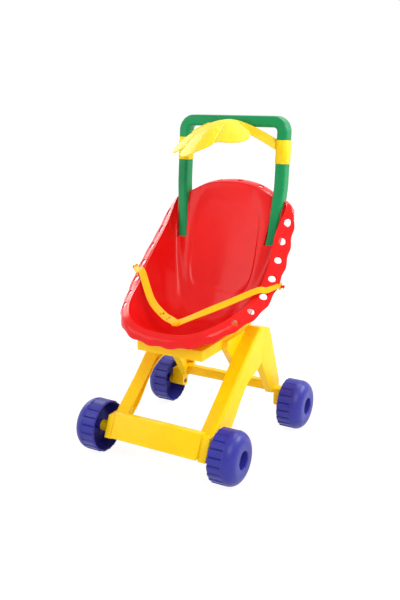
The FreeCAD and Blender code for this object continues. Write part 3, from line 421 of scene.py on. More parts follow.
def cut_away(piece: bpy.types.Object, cutter: Shape) -> None:
    """Cut a closed shape out of a piece, and throw the cutter away.

    Args:
        piece: the object to cut.
        cutter: closed shapes, one or many.
    """
    tool = mesh_from("cutter", cutter)
    change = piece.modifiers.new("cut", "BOOLEAN")
    change.operation = "DIFFERENCE"
    change.solver = "MANIFOLD"
    change.object = tool
    apply_modifiers(piece)
    bpy.data.objects.remove(tool)


# ---------------------------------------------------------------- node groups


class Net:
    """A node tree with short ways to add nodes and join them."""

    def __init__(self, tree: bpy.types.NodeTree) -> None:
        """Keep the tree that nodes are added to."""
        self.tree = tree

    def node(self, kind: str, settings: dict | None = None, *values: Value, **named: Value) -> bpy.types.Node:
        """Add a node.

        Args:
            kind: the node's type name without its ShaderNode prefix.
            settings: properties of the node itself.
            values: values or sockets for its first inputs, in order.
            named: values or sockets for inputs by name, spaces written as underscores.

        Returns:
            The node.
        """
        made = self.tree.nodes.new(kind if kind.startswith("NodeGroup") else "ShaderNode" + kind)
        for name, value in (settings or {}).items():
            setattr(made, name, value)
        for number, value in enumerate(values):
            self.feed(made.inputs[number], value)
        self.feed_all(made, {name.replace("_", " "): value for name, value in named.items()})
        return made

    def feed(self, socket: bpy.types.NodeSocket, value: Value) -> None:
        """Join a socket to another, or set it to a plain value.

        Args:
            socket: the input to feed.
            value: the output to join it to, or its value.
        """
        if isinstance(value, bpy.types.NodeSocket):
            self.tree.links.new(value, socket)
        else:
            socket.default_value = value

    def feed_all(self, node: bpy.types.Node, inputs: dict[str, Value]) -> None:
        """Feed a node's inputs by their names."""
        for name, value in inputs.items():
            self.feed(node.inputs[name], value)

    def group(self, tree: bpy.types.NodeTree, **named: Value) -> bpy.types.Node:
        """Place a node group with its own values."""
        return self.node("Group", {"node_tree": tree}, **named)

    def calculate(self, operation: str, first: Value, second: Value) -> bpy.types.NodeSocket:
        """The result of one Math node of two values."""
        return self.node("Math", {"operation": operation}, first, second).outputs[0]

    def ramp(
        self, value: bpy.types.NodeSocket, start: tuple[float, float], end: tuple[float, float]
    ) -> bpy.types.NodeSocket:
        """A value taken smoothly from one range to another, level outside.

        Args:
            value: the value.
            start: the range that it comes from.
            end: the range that it is taken to.

        Returns:
            The new value.
        """
        limits = {"From_Min": start[0], "From_Max": start[1], "To_Min": end[0], "To_Max": end[1]}
        made = self.node("MapRange", {"interpolation_type": "SMOOTHSTEP"}, Value=value, **limits)
        return made.outputs["Result"]

    def blend(self, share: Value, first: Value, second: Value) -> bpy.types.NodeSocket:
        """Two colours mixed by a share.

        Args:
            share: how much of the second colour shows.
            first: the first colour.
            second: the second colour.

        Returns:
            The mixed colour.
        """
        made = self.node("Mix", {"data_type": "RGBA"})
        sockets = {socket.identifier: socket for socket in made.inputs}
        self.feed(sockets["Factor_Float"], share)
        self.feed(sockets["A_Color"], first)
        self.feed(sockets["B_Color"], second)
        return next(socket for socket in made.outputs if socket.identifier == "Result_Color")


def new_group(
    name: str, inputs: dict[str, tuple[str, Value]], outputs: dict[str, str]
) -> tuple[Net, bpy.types.Node, bpy.types.Node]:
    """An empty shader node group with named sockets.

    Args:
        name: the group's name.
        inputs: socket name to (socket type, default).
        outputs: socket name to socket type.

    Returns:
        The group's net, its input node and its output node.
    """
    tree = bpy.data.node_groups.new(name, "ShaderNodeTree")
    for label, (kind, value) in inputs.items():
        socket = tree.interface.new_socket(label, in_out="INPUT", socket_type="NodeSocket" + kind)
        socket.default_value = value
    for label, kind in outputs.items():
        tree.interface.new_socket(label, in_out="OUTPUT", socket_type="NodeSocket" + kind)
    net = Net(tree)
    return net, net.node("NodeGroupInput"), net.node("NodeGroupOutput")


def flow_marks_group() -> bpy.types.NodeTree:
    """Colour drift in moulded plastic: distorted slow noise and a little fine noise, as a mask and a colour.

    Returns:
        The node group.
    """
    white = (1, 1, 1, 1)
    sockets = {
        "Colour": ("Color", white),
        "Deep": ("Color", white),
        "Scale": ("Float", 20.0),
        "Amount": ("Float", 0.5),
    }
    net, given, out = new_group("moulding_flow", sockets, {"Colour": "Color", "Mask": "Float"})
    where = net.node("TexCoord").outputs["Object"]
    scale = given.outputs["Scale"]
    slow = net.node("TexNoise", Vector=where, Scale=scale, Detail=3.0, Distortion=1.2)
    fine = net.node("TexNoise", Vector=where, Scale=net.calculate("MULTIPLY", scale, 6.0), Detail=2.0)
    slow_part = net.calculate("MULTIPLY", slow.outputs[0], 0.8)
    fine_part = net.calculate("MULTIPLY", fine.outputs[0], 0.2)
    mask = net.ramp(net.calculate("ADD", slow_part, fine_part), (0.38, 0.66), (0.0, 1.0))
    share = net.calculate("MULTIPLY", mask, given.outputs["Amount"])
    net.feed(out.inputs["Colour"], net.blend(share, given.outputs["Colour"], given.outputs["Deep"]))
    net.feed(out.inputs["Mask"], mask)
    return net.tree


def surface_skin_group() -> bpy.types.NodeTree:
    """Orange-peel relief of a moulded skin: two sizes of noise turned into a normal.

    Returns:
        The node group.
    """
    sockets = {"Scale": ("Float", 900.0), "Relief": ("Float", 0.05), "Wave": ("Float", 0.1)}
    net, given, out = new_group("moulded_skin", sockets, {"Normal": "Vector"})
    where = net.node("TexCoord").outputs["Object"]
    grain = net.node("TexNoise", Vector=where, Scale=given.outputs["Scale"], Detail=2.0).outputs[0]
    slow = net.node("TexNoise", Vector=where, Scale=45.0, Detail=1.0).outputs[0]
    wave = net.node("Bump", Strength=given.outputs["Wave"], Distance=1.0 * MM, Height=slow)
    peel = net.node("Bump", Strength=given.outputs["Relief"], Distance=0.2 * MM, Height=grain)
    net.feed(peel.inputs["Normal"], wave.outputs["Normal"])
    net.feed(out.inputs["Normal"], peel.outputs["Normal"])
    return net.tree


def handling_marks_group() -> bpy.types.NodeTree:
    """Rub marks that dull a gloss: hairlines from stretched noise, kept to patches by slow noise.

    Returns:
        The node group.
    """
    sockets = {"Roughness": ("Float", 0.3), "Rub": ("Float", 0.15), "Scale": ("Float", 60.0)}
    net, given, out = new_group("handling_marks", sockets, {"Roughness": "Float", "Mask": "Float"})
    where = net.node("TexCoord").outputs["Object"]
    drawn = net.node("Mapping", Vector=where, Scale=(9.0, 0.7, 1.6), Rotation=(0.3, 0.5, 0.8))
    lines = net.node("TexNoise", Vector=drawn.outputs[0], Scale=given.outputs["Scale"], Detail=5.0)
    patch = net.node("TexNoise", Vector=where, Scale=14.0, Detail=1.0)
    hair = net.ramp(lines.outputs[0], (0.56, 0.66), (0.0, 1.0))
    mask = net.calculate("MULTIPLY", hair, net.ramp(patch.outputs[0], (0.42, 0.62), (0.15, 1.0)))
    dull = net.calculate("MULTIPLY", mask, given.outputs["Rub"])
    net.feed(out.inputs["Roughness"], net.calculate("ADD", given.outputs["Roughness"], dull))
    net.feed(out.inputs["Mask"], mask)
    return net.tree


class Groups:
    """The node groups that several finishes share, each built once."""

    def __init__(self) -> None:
        """Build every group."""
        self.flow = flow_marks_group()
        self.skin = surface_skin_group()
        self.marks = handling_marks_group()


# ---------------------------------------------------------------- finishes


def new_material(name: str) -> tuple[bpy.types.Material, Net, bpy.types.Node]:
    """A material with nodes.

    Args:
        name: the material's name.

    Returns:
        The material, its net and its Principled shader.
    """
    material = bpy.data.materials.new(name)
    material.use_nodes = True
    return material, Net(material.node_tree), material.node_tree.nodes["Principled BSDF"]


def opaque(colour: Sequence[float]) -> tuple[float, ...]:
    """A colour with full alpha."""
    return (*colour, 1.0)


@dataclass(frozen=True)
class MouldedPlastic:
    """A moulded plastic: its colour, the deeper colour it drifts to, and its gloss."""

    name: str
    colour: Colour
    deep: Colour
    roughness: float = 0.32
    rub: float = 0.12
    drift_scale: float = 18.0
    drift: float = 0.35
    relief: float = 0.10
    relief_scale: float = 900.0
    wave: float = 0.06
    glow: float = 0.0
    glow_radius: Colour = (1.0, 0.35, 0.1)
    glow_depth: float = 4.0 * MM
    gloss: float = 0.22
    ior: float = 1.49

    def build(self, groups: Groups) -> bpy.types.Material:
        """Make the material.

        Args:
            groups: the shared node groups.

        Returns:
            The material, ready for a piece.
        """
        material, net, shader = new_material(self.name)
        colours = {"Colour": opaque(self.colour), "Deep": opaque(self.deep)}
        flow = net.group(groups.flow, **colours, Scale=self.drift_scale, Amount=self.drift)
        marks = net.group(groups.marks, Roughness=self.roughness, Rub=self.rub)
        skin = net.group(groups.skin, Scale=self.relief_scale, Relief=self.relief, Wave=self.wave)
        inputs = {
            "Base Color": flow.outputs["Colour"],
            "Roughness": marks.outputs["Roughness"],
            "Normal": skin.outputs["Normal"],
            "IOR": self.ior,
            "Specular IOR Level": self.gloss,
            "Subsurface Weight": self.glow,
            "Subsurface Radius": self.glow_radius,
            "Subsurface Scale": self.glow_depth,
        }
        net.feed_all(shader, inputs)
        return material


@dataclass(frozen=True)
class ZincSteel:
    """Zinc-plated screw steel with turned rings and faint blotches."""

    name: str = "zinc_steel"
    colour: Colour = (0.62, 0.62, 0.64)
    blotch: float = 0.7
    roughness: float = 0.28
    rub: float = 0.25

    def build(self, groups: Groups) -> bpy.types.Material:
        """Make the material from rings about the screw's axis and the shared marks.

        Args:
            groups: the shared node groups.

        Returns:
            The material, ready for a piece.
        """
        material, net, shader = new_material(self.name)
        where = net.node("TexCoord").outputs["Object"]
        rings = net.node("TexWave", {"bands_direction": "X"}, Vector=where, Scale=400.0, Distortion=2.0)
        marks = net.group(groups.marks, Roughness=self.roughness, Rub=self.rub, Scale=300.0)
        dark = opaque([self.blotch * part for part in self.colour])
        bump = net.node("Bump", Strength=0.2, Distance=0.1 * MM, Height=rings.outputs[0])
        inputs = {
            "Base Color": net.blend(marks.outputs["Mask"], opaque(self.colour), dark),
            "Roughness": marks.outputs["Roughness"],
            "Normal": bump.outputs["Normal"],
            "Metallic": 1.0,
        }
        net.feed_all(shader, inputs)
        return material


CHASSIS_YELLOW = MouldedPlastic(
    "chassis_yellow", (0.98, 0.62, 0.002), (0.97, 0.49, 0.002), roughness=0.34, glow=0.20, drift=0.30
)
VISOR_LEMON = MouldedPlastic(
    "visor_lemon", (0.94, 0.70, 0.008), (0.95, 0.55, 0.003), roughness=0.40, glow=0.20, drift=0.45
)
BELT_AMBER = MouldedPlastic(
    "belt_amber",
    (0.95, 0.50, 0.004),
    (0.93, 0.38, 0.003),
    roughness=0.46,
    rub=0.10,
    relief=0.15,
    relief_scale=1600.0,
    glow=0.10,
)
SEAT_RED = MouldedPlastic(
    "seat_red",
    (0.78, 0.009, 0.008),
    (0.68, 0.005, 0.006),
    roughness=0.16,
    rub=0.03,
    relief=0.02,
    wave=0.03,
    glow=0.05,
    gloss=0.21,
)
HANDLE_GREEN = MouldedPlastic(
    "handle_green", (0.0025, 0.265, 0.082), (0.0015, 0.18, 0.048), roughness=0.30, gloss=0.24
)
WHEEL_VIOLET = MouldedPlastic(
    "wheel_violet", (0.030, 0.030, 0.29), (0.022, 0.020, 0.22), roughness=0.36, gloss=0.30
)
RETAINER_NYLON = MouldedPlastic("retainer_nylon", (0.78, 0.78, 0.74), (0.70, 0.70, 0.66), roughness=0.5)
SCREW_ZINC = ZincSteel()


@dataclass
class Finishes:
    """Every finish of the stroller as a material."""

    groups: Groups = field(default_factory=Groups)
    made: dict[str, bpy.types.Material] = field(default_factory=dict)

    def of(self, finish: MouldedPlastic | ZincSteel) -> bpy.types.Material:
        """The material of a finish, built the first time it is asked for.

        Args:
            finish: the finish.

        Returns:
            Its material.
        """
        if finish.name not in self.made:
            self.made[finish.name] = finish.build(self.groups)
        return self.made[finish.name]


# ---------------------------------------------------------------- chassis


def front_axle_y() -> float:
    """Where the front axle lies along y: the middle of a front wheel's box."""
    low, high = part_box("wheel_front_left")
    return (low[1] + high[1]) / 2


AXLE_Y = front_axle_y()


def placed(points: Array) -> Array:
    """Points in millimetres, with y counted from the front axle, taken to their place in metres."""
    return points * MM + np.array([0.0, AXLE_Y, 0.0])


@dataclass
class Mouldings:
    """The hard mouldings of the chassis: the frame's own solids with their edges rounded.

    The front leg's top and under lines are a height at the front axle and a slope.
    """

    finishes: Finishes
    edge_radius: float = 2.0 * MM
    edge_segments: int = 3
    edge_degrees: float = 28.0
    crease_degrees: float = 45.0
    weld_distance: float = 0.01 * MM
    flat_degrees: float = 0.6
    leg_run: tuple[float, float] = (60.0, 178.0)
    leg_slices: int = 15
    top_line: tuple[float, float] = (68.7, 0.789)
    under_line: tuple[float, float] = (18.3, 0.68)
    under_rise: float = 17.0
    top_rise: float = 4.0

    def build(self) -> None:
        """Round and dress the frames, crossbars and platform, and dress the small parts."""
        frames = ["side_frame_" + side.word for side in Side]
        for node in (*frames, "front_crossbar", "rear_crossbar", "seat_platform"):
            self.soften(node)
        small = {"axle_pin": WHEEL_VIOLET, "frame_screw": SCREW_ZINC, "seat_retainer": RETAINER_NYLON}
        for node, piece in frame["nodes"].items():
            for start, finish in small.items():
                if node.startswith(start):
                    self.dress(piece, finish)

    def soften(self, node: str) -> None:
        """Stand in for a frame node with a copy whose flat faces are joined and edges rounded.

        Args:
            node: the frame node.
        """
        name = node + "_moulding"
        mesh = frame["nodes"][node].data.copy()
        mesh.name = name
        arched = node.startswith("side_frame")
        work = bmesh.new()
        work.from_mesh(mesh)
        bmesh.ops.remove_doubles(work, verts=work.verts, dist=self.weld_distance)
        flat = math.radians(self.flat_degrees)
        bmesh.ops.dissolve_limit(work, angle_limit=flat, verts=work.verts, edges=work.edges)
        if arched:
            self.slice_leg(work)
        work.to_mesh(mesh)
        work.free()
        if arched:
            self.arch_leg(mesh)
        if "custom_normal" in mesh.attributes:
            mesh.attributes.remove(mesh.attributes["custom_normal"])
        piece = new_object(name, mesh)
        bevel = piece.modifiers.new("edges", "BEVEL")
        bevel.width = self.edge_radius
        bevel.segments = self.edge_segments
        bevel.limit_method = "ANGLE"
        bevel.angle_limit = math.radians(self.edge_degrees)
        bevel.use_clamp_overlap = True
        bevel.miter_outer = "MITER_ARC"
        apply_modifiers(piece)
        weld(piece.data, self.weld_distance)
        shade(piece, self.crease_degrees)
        place_piece(piece, self.finishes.of(CHASSIS_YELLOW), Body.CHASSIS, node)

    def slice_leg(self, work: bmesh.types.BMesh) -> None:
        """Slice the front leg across at even steps, so that it can bend.

        Args:
            work: the side frame's mesh.
        """
        for y in np.linspace(*self.leg_run, self.leg_slices):
            everything = [*work.verts, *work.edges, *work.faces]
            place = (0.0, AXLE_Y + float(y) * MM, 0.0)
            bmesh.ops.bisect_plane(work, geom=everything, dist=WELD, plane_co=place, plane_no=(0, 1, 0))

    def arch_leg(self, mesh: bpy.types.Mesh) -> None:
        """Bow the front leg: each point rises by a squared sine of its y between foot and fork.

        The rise's height goes evenly from top_rise on the leg's top line to under_rise on its under line.

        Args:
            mesh: the side frame's mesh, already sliced.
        """
        start, stop = self.leg_run
        places = np.empty(len(mesh.vertices) * 3, dtype=np.float32)
        mesh.vertices.foreach_get("co", places)
        points = places.reshape(-1, 3).astype(float)
        y = (points[:, 1] - AXLE_Y) / MM
        z = points[:, 2] / MM
        top = self.top_line[0] + self.top_line[1] * y
        under = self.under_line[0] + self.under_line[1] * y
        share = np.clip((top - z) / (top - under), 0, 1)
        hump = np.sin(math.pi * np.clip((y - start) / (stop - start), 0, 1)) ** 2
        points[:, 2] += (share * self.under_rise + (1 - share) * self.top_rise) * hump * MM
        mesh.vertices.foreach_set("co", points.astype(np.float32).ravel())
        mesh.update()

    def dress(self, piece: bpy.types.Object, finish: MouldedPlastic | ZincSteel) -> None:
        """Give a frame node its finish.

        Args:
            piece: the node's own object.
            finish: what it is made of.
        """
        piece.data.materials.clear()
        piece.data.materials.append(self.finishes.of(finish))
        LOG.info("node  %s", piece.name)


# ---------------------------------------------------------------- wheels


@dataclass
class Wheels:
    """Four hollow wheels: a ribbed tread, a big round shoulder and a lipped recess at the hub.

    Each rib slopes inwards over the first part of its pitch, and the notch behind it is half a sine. Both
    are a share of the pitch and a share of the rib's depth.
    """

    finishes: Finishes
    radius: float = 45.0 * MM
    width: float = 44.0 * MM
    shoulder: float = 19.0 * MM
    wall: float = 3.5 * MM
    recess_radius: float = 15.0 * MM
    recess_depth: float = 13.0 * MM
    hub_radius: float = 8.5 * MM
    bore_radius: float = 4.08 * MM
    hub_start: float = 11.3 * MM
    lip: float = 2.2 * MM
    edge: float = 1.4 * MM
    edge_cut: float = 0.3
    mouth: float = 0.4 * MM
    rib_count: int = 20
    rib_depth: float = 2.7 * MM
    rib_run: tuple[float, float] = (23.0 * MM, 27.0 * MM)
    rib_fade: tuple[float, float] = (3.0 * MM, 1.0 * MM)
    slope: tuple[float, float] = (0.80, 0.45)
    notch: tuple[float, float] = (0.20, 0.55)
    around: int = 400
    tread_steps: int = 26
    shoulder_steps: int = 24
    lip_steps: int = 8
    inner_steps: int = 14
    crease_degrees: float = 50.0

    def build(self) -> None:
        """Build and dress each wheel in its node's place."""
        for axle in Axle:
            for side in Side:
                self.wheel(axle, side)

    @staticmethod
    def arc(middle: Array, radius: float, start: float, stop: float, count: int) -> Array:
        """Points on a circle: middle + radius * (cos t, sin t), t from start to stop in radians."""
        turn = np.linspace(start, stop, count)
        return middle + radius * np.stack([np.cos(turn), np.sin(turn)], 1)

    def profile(self) -> Array:
        """The wall's closed section, from the inner rim over the tread and shoulder to the hub and back.

        Returns:
            Points (x, radius) of shape (rings, 2).
        """
        quarter = math.pi / 2
        cut = self.edge * self.edge_cut
        floor = self.width - self.recess_depth
        middle = np.array([self.width - self.shoulder, self.radius - self.shoulder])
        lip_middle = np.array([self.width - self.lip, self.recess_radius + self.lip])
        tread = np.linspace(self.edge, self.width - self.shoulder - self.edge, self.tread_steps)
        parts = [
            [[0.0, self.radius - self.wall], [0.0, self.radius - self.edge]],
            [[cut, self.radius - cut]],
            np.stack([tread, np.full_like(tread, self.radius)], 1),
            self.arc(middle, self.shoulder, quarter, 0, self.shoulder_steps),
            self.arc(lip_middle, self.lip, 0, -quarter, self.lip_steps),
            [[floor + self.edge, self.recess_radius], [floor + cut, self.recess_radius - self.mouth]],
            [[floor, self.recess_radius - self.edge], [floor, self.bore_radius + self.mouth]],
            [[floor - self.mouth, self.bore_radius], [self.hub_start, self.bore_radius]],
            [[self.hub_start, self.hub_radius], [floor - self.wall, self.hub_radius]],
            [[floor - self.wall, self.recess_radius + self.wall]],
            [[self.width - self.wall, self.recess_radius + self.wall]],
            self.arc(middle, self.shoulder - self.wall, 0, quarter, self.inner_steps),
        ]
        return np.concatenate([np.asarray(part, float) for part in parts])

    def groove(self, x: Array, radius: Array) -> Array:
        """How deep the tread is cut: a saw-like wave round it, faded out along its width.

        Args:
            x: distance of each ring from the inner rim.
            radius: radius of each ring.

        Returns:
            Depths of shape (rings, angles).
        """
        phase = (full_turn(self.around) * self.rib_count / (2 * math.pi)) % 1.0
        sloping, slope_depth = self.slope
        notched, notch_depth = self.notch
        rise = slope_depth * phase / sloping
        dip = slope_depth + notch_depth * np.sin((phase - sloping) / notched * math.pi)
        depth = np.clip(np.where(phase < sloping, rise, dip), 0, 1)
        reach = 1 - smooth_step(x, *self.rib_run)
        on_tread = smooth_step(radius, *(self.radius - below for below in self.rib_fade))
        return self.rib_depth * (reach * on_tread)[:, None] * depth[None, :]

    def wheel(self, axle: Axle, side: Side) -> None:
        """Build one wheel about its axle, its inner rim on its node's inner face.

        Args:
            axle: which axle it turns on.
            side: which side of the stroller it stands on.
        """
        node = f"wheel_{axle.value}_{side.word}"
        low, high = (np.array(corner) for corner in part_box(node))
        profile = self.profile()
        radius = profile[:, 1:] - self.groove(profile[:, 0], profile[:, 1])
        rings = np.stack([np.broadcast_to(profile[:, :1], radius.shape), radius], axis=-1)
        middle = (low + high) / 2
        middle[0] = low[0] if side is Side.RIGHT else -high[0]
        shape = grid_shape(turned(rings, middle, self.around), wrap_rows=True, wrap_columns=True)
        piece = mesh_from(node + "_moulding", shape if side is Side.RIGHT else shape.mirrored())
        shade(piece, self.crease_degrees)
        place_piece(piece, self.finishes.of(WHEEL_VIOLET), node + "_body", node)


# ---------------------------------------------------------------- handle


@dataclass
class Handle:
    """The push handle: one tube of rounded section carried along an inverted U."""

    finishes: Finishes
    width: float = 19.0 * MM
    depth: float = 26.0 * MM
    corner: float = 5.2 * MM
    seam: float = 0.15 * MM
    seam_spread: float = 0.7 * MM
    foot: Triple = (46.0, 189.3, 193.0)
    bend: Triple = (88.7, 235.5, 345.0)
    straight: Triple = (96.0, 247.1, 440.0)
    bar: Triple = (96.0, 256.0, 550.5)
    leg_radius: float = 130.0
    bar_radius: float = 17.0
    leg_top: float = 500.0
    around: int = 64
    arc_steps: int = 14
    crease_degrees: float = 60.0

    def corners(self) -> Array:
        """The centre line's corners in metres, from the right foot over the bar to the left foot."""
        right = np.array([self.foot, self.bend, self.straight, self.bar])
        return placed(np.concatenate([right, right[::-1] * MIRROR]))

    def path(self) -> Array:
        """Straight runs through the corners, each corner rounded by the arc tangent to both runs.

        Returns:
            The centre line's points in metres, (rows, 3).
        """
        points = self.corners()
        radii = np.array([self.leg_radius, self.leg_radius, self.bar_radius]) * MM
        rows = [points[:1]]
        for before, corner, after, radius in zip(points, points[1:], points[2:], [*radii, *radii[::-1]]):
            back, ahead = unit(before - corner), unit(after - corner)
            half = math.acos(float(np.clip(back @ ahead, -1, 1))) / 2
            middle = corner + unit(back + ahead) * radius / math.sin(half)
            start = corner + back * radius / math.tan(half) - middle
            stop = corner + ahead * radius / math.tan(half) - middle
            sweep = math.pi - 2 * half
            turn = np.linspace(0, 1, self.arc_steps)[:, None]
            arc = (start * np.sin((1 - turn) * sweep) + stop * np.sin(turn * sweep)) / math.sin(sweep)
            rows.append(middle + arc)
        rows.append(points[-1:])
        return np.concatenate(rows)

    def leg_at(self, heights: Array) -> tuple[Array, Array]:
        """Where the right leg's centre line lies at some heights.

        Args:
            heights: heights in millimetres.

        Returns:
            Its x and its y from the front axle, in millimetres.
        """
        path = self.path() / MM
        leg = path[(path[:, 0] > 0) & (path[:, 2] < self.leg_top)]
        x = np.interp(heights, leg[:, 2], leg[:, 0])
        y = np.interp(heights, leg[:, 2], leg[:, 1] - AXLE_Y / MM)
        return x, y

    def build(self) -> None:
        """Sweep the section, with a fine seam line where the two halves of the mould met."""
        path = self.path()
        tangent = unit(np.gradient(path, axis=0))
        across = unit(np.cross(np.array([0.0, 1.0, 0.0]), tangent))
        along = np.cross(tangent, across)
        ring = rounded_ring(self.width, self.depth, self.corner, self.around)
        near_seam = np.exp(-((ring[:, 1] / self.seam_spread) ** 2)) * np.sign(ring[:, 0])
        ring[:, 0] -= near_seam * self.seam
        piece = mesh_from("handle_tube", closed_tube(swept(path, ring, across, along)))
        shade(piece, self.crease_degrees)
        place_piece(piece, self.finishes.of(HANDLE_GREEN), Body.CHASSIS, "handle")


# ---------------------------------------------------------------- seat


@dataclass
class Seat:
    """The bucket seat: ribs from a flat sole to a waving rim, and a pierced brim folded outwards.

    Half loops run from the middle of the front lip round the right wing to the middle of the crest; a
    place on the loop is a number of steps along them. The rim's rows are shares of the half width, of
    the depth and of the rise from lip to crest. The wall's rows say where each rib comes from below the
    rim, in shares of that rise. The brim's rows are its direction, in widths of the brim. The peg's head
    is a list of distances past its shank and shares of its radius.
    """

    finishes: Finishes
    half_width: float = 115.0
    front_y: float = 4.0
    back_y: float = 247.0
    lip_z: float = 230.0
    crest_z: float = 446.0
    wall: float = 2.5 * MM
    sole: Triple = (40.0, 45.0, 0.0)
    sole_centre: Triple = (0.0, 115.0, 204.8)
    floor_reach: float = 35.0
    brim_width: float = 30.0
    hole_radius: float = 6.3 * MM
    hole_pitch: float = 37.5
    first_hole: float = 32.0
    hole_count: int = 7
    lobe: float = 2.5 * MM
    tip_place: float = 7.0
    measure_steps: int = 401
    crest_places: tuple[float, float] = (8.0, 10.0)
    crest_steps: int = 80
    crest_spreads: tuple[float, ...] = (-1.5, -0.5, 0.5, 1.5)
    crest_pitch: float = 41.0
    crest_shift: float = 8.0
    crest_radius: float = 5.5 * MM
    drill_reach: float = 6.0 * MM
    drill_start: Triple = (0.31, 0.17, 0.93)
    slot_half: float = 9.75
    slot_floor_z: float = 342.0
    slot_lean_z: float = 440.0
    slot_open_z: float = 560.0
    slot_depths: tuple[float, float] = (189.3, 436.3)
    leg_steps: int = 12
    pocket_top: float = 404.0
    pocket_reach: tuple[float, float] = (15.0, 7.0)
    pocket_back: float = 9.0
    pocket_floor: Triple = (10.0, 13.0, 2.0)
    fillet: float = 4.5 * MM
    bead: float = 1.2 * MM
    bead_row: int = 52
    bead_spread: float = 1.1
    brim_row: int = 56
    side_crown: float = 0.6 * MM
    front_crown: float = 3.2 * MM
    crown_fade: tuple[float, float] = (2.0, 6.0)
    peg_hole: int = 3
    peg_radius: float = 2.2 * MM
    peg_length: float = 7.5 * MM
    peg_head: Rows = ((-0.4, 1.0), (0.0, 1.35), (0.5, 1.58), (1.2, 1.45), (1.8, 0.8), (1.8, 0.0))
    panel_depth: float = 2.0 * MM
    panel_middle_z: float = 338.0
    panel_half: tuple[float, float] = (63.0, 84.0)
    panel_step: tuple[float, float] = (0.97, 1.04)
    panel_from_y: tuple[float, float] = (110.0 * MM, 125.0 * MM)
    around: int = 480
    sole_rows: int = 6
    rib_rows: int = 44
    fold_rows: int = 7
    brim_rows: int = 12
    edge_rows: int = 5
    drill_steps: int = 40
    peg_steps: int = 32
    crease_degrees: float = 40.0
    rim: Rows = (
        (0.0, 0.0, 0.0),
        (0.365, 0.012, 0.014),
        (0.643, 0.074, 0.060),
        (0.852, 0.230, 0.125),
        (0.974, 0.444, 0.222),
        (1.0, 0.630, 0.412),
        (0.939, 0.807, 0.639),
        (0.939, 0.984, 0.847),
        (0.704, 0.984, 0.903),
        (0.391, 0.996, 0.977),
        (0.0, 1.0, 1.0),
    )
    wall_rise: Rows = (
        (0.0, -0.032, 0.056),
        (0.014, -0.028, 0.056),
        (0.042, -0.028, 0.083),
        (0.074, -0.009, 0.130),
        (0.093, 0.0, 0.185),
        (0.079, -0.014, 0.333),
        (0.056, 0.032, 0.500),
        (0.056, 0.200, 0.625),
        (0.037, 0.197, 0.685),
        (0.009, 0.160, 0.750),
        (0.0, 0.150, 0.778),
    )
    brim_lean: Rows = (
        (0.0, -0.30, -0.67),
        (0.05, -0.30, -0.67),
        (0.13, -0.37, -0.70),
        (0.36, -0.40, -0.63),
        (0.63, -0.27, -0.60),
        (0.77, 0.0, -0.60),
        (0.83, 0.23, -0.60),
        (0.40, 0.20, -0.33),
        (0.0, 0.73, 0.02),
        (0.0, 0.73, 0.04),
        (0.0, 0.73, 0.06),
    )

    def __post_init__(self) -> None:
        """Scale the half loops, close them by their mirror images and measure the brim."""
        rise = self.crest_z - self.lip_z
        spread = np.array([self.half_width, self.back_y - self.front_y, rise])
        corner = np.array([0.0, self.front_y, self.lip_z])
        self.rim_loop = placed(self.whole(self.rim, spread) + corner)
        self.rise_loop = self.whole(self.wall_rise, rise) * MM
        self.lean_loop = self.whole(self.brim_lean, self.brim_width) * MM
        self.places = np.arange(self.around) / self.around * len(self.rim_loop)
        self.centre = placed(np.array(self.sole_centre))
        self.steps = np.linspace(self.tip_place, 0, self.measure_steps)
        runs = np.linalg.norm(np.diff(self.brim(self.steps, 0.5), axis=0), axis=1)
        self.lengths = np.concatenate([[0.0], np.cumsum(runs)]) / MM
        waves = round(2 * (self.lengths[-1] - self.first_hole) / self.hole_pitch) / 2
        self.pitch = (self.lengths[-1] - self.first_hole) / waves

    @staticmethod
    def whole(half: Rows, scale: Array | float) -> Array:
        """A half loop, scaled and closed by its mirror image."""
        loop = np.array(half) * scale
        return np.concatenate([loop, loop[-2:0:-1] * MIRROR])

    def brim(self, places: Array, share: float) -> Array:
        """The brim a share of the way from the rim to its plain edge."""
        return closed_curve(self.rim_loop, places) + closed_curve(self.lean_loop, places) * share

    def hole_place(self, number: int) -> Array:
        """The place on the loop of a hole of the brim, counted from the wing's tip."""
        length = self.first_hole + number * self.pitch
        return np.array([np.interp(length, self.lengths, self.steps)])

    def from_front(self, places: Array) -> Array:
        """How far places lie from the middle of the front lip, on either side."""
        return np.minimum(places, len(self.rim_loop) - places)

    def swell(self, places: Array) -> Array:
        """How far the scalloped edge stands out: a cosine along the brim, with a crest at each hole.

        Args:
            places: places on the loop.

        Returns:
            Its swell at each place, in metres; none behind the wing's tip.
        """
        folded = self.from_front(places)
        length = np.interp(self.tip_place - folded, self.tip_place - self.steps, self.lengths)
        wave = self.lobe * (0.5 + 0.5 * np.cos(2 * math.pi * (length - self.first_hole) / self.pitch))
        return np.where(folded > self.tip_place, 0.0, wave)

    def ribs(self, shares: Array) -> Array:
        """Cubic ribs from the sole to the rim: Bernstein sums of start, low, high and top.

        Args:
            shares: how far up each rib, (rows, columns).

        Returns:
            A grid of shape (rows, columns, 3).
        """
        top = closed_curve(self.rim_loop, self.places)
        turn = np.arctan2(top[:, 1] - self.centre[1], top[:, 0] - self.centre[0])
        out = np.stack([np.cos(turn), np.sin(turn), np.zeros_like(turn)], axis=1)
        start = self.centre + out * np.array(self.sole) * MM
        low = start + out * self.floor_reach * MM
        high = top - closed_curve(self.rise_loop, self.places)
        s = shares[..., None]
        r = 1 - s
        return start * r**3 + low * (3 * r**2 * s) + high * (3 * r * s**2) + top * s**3

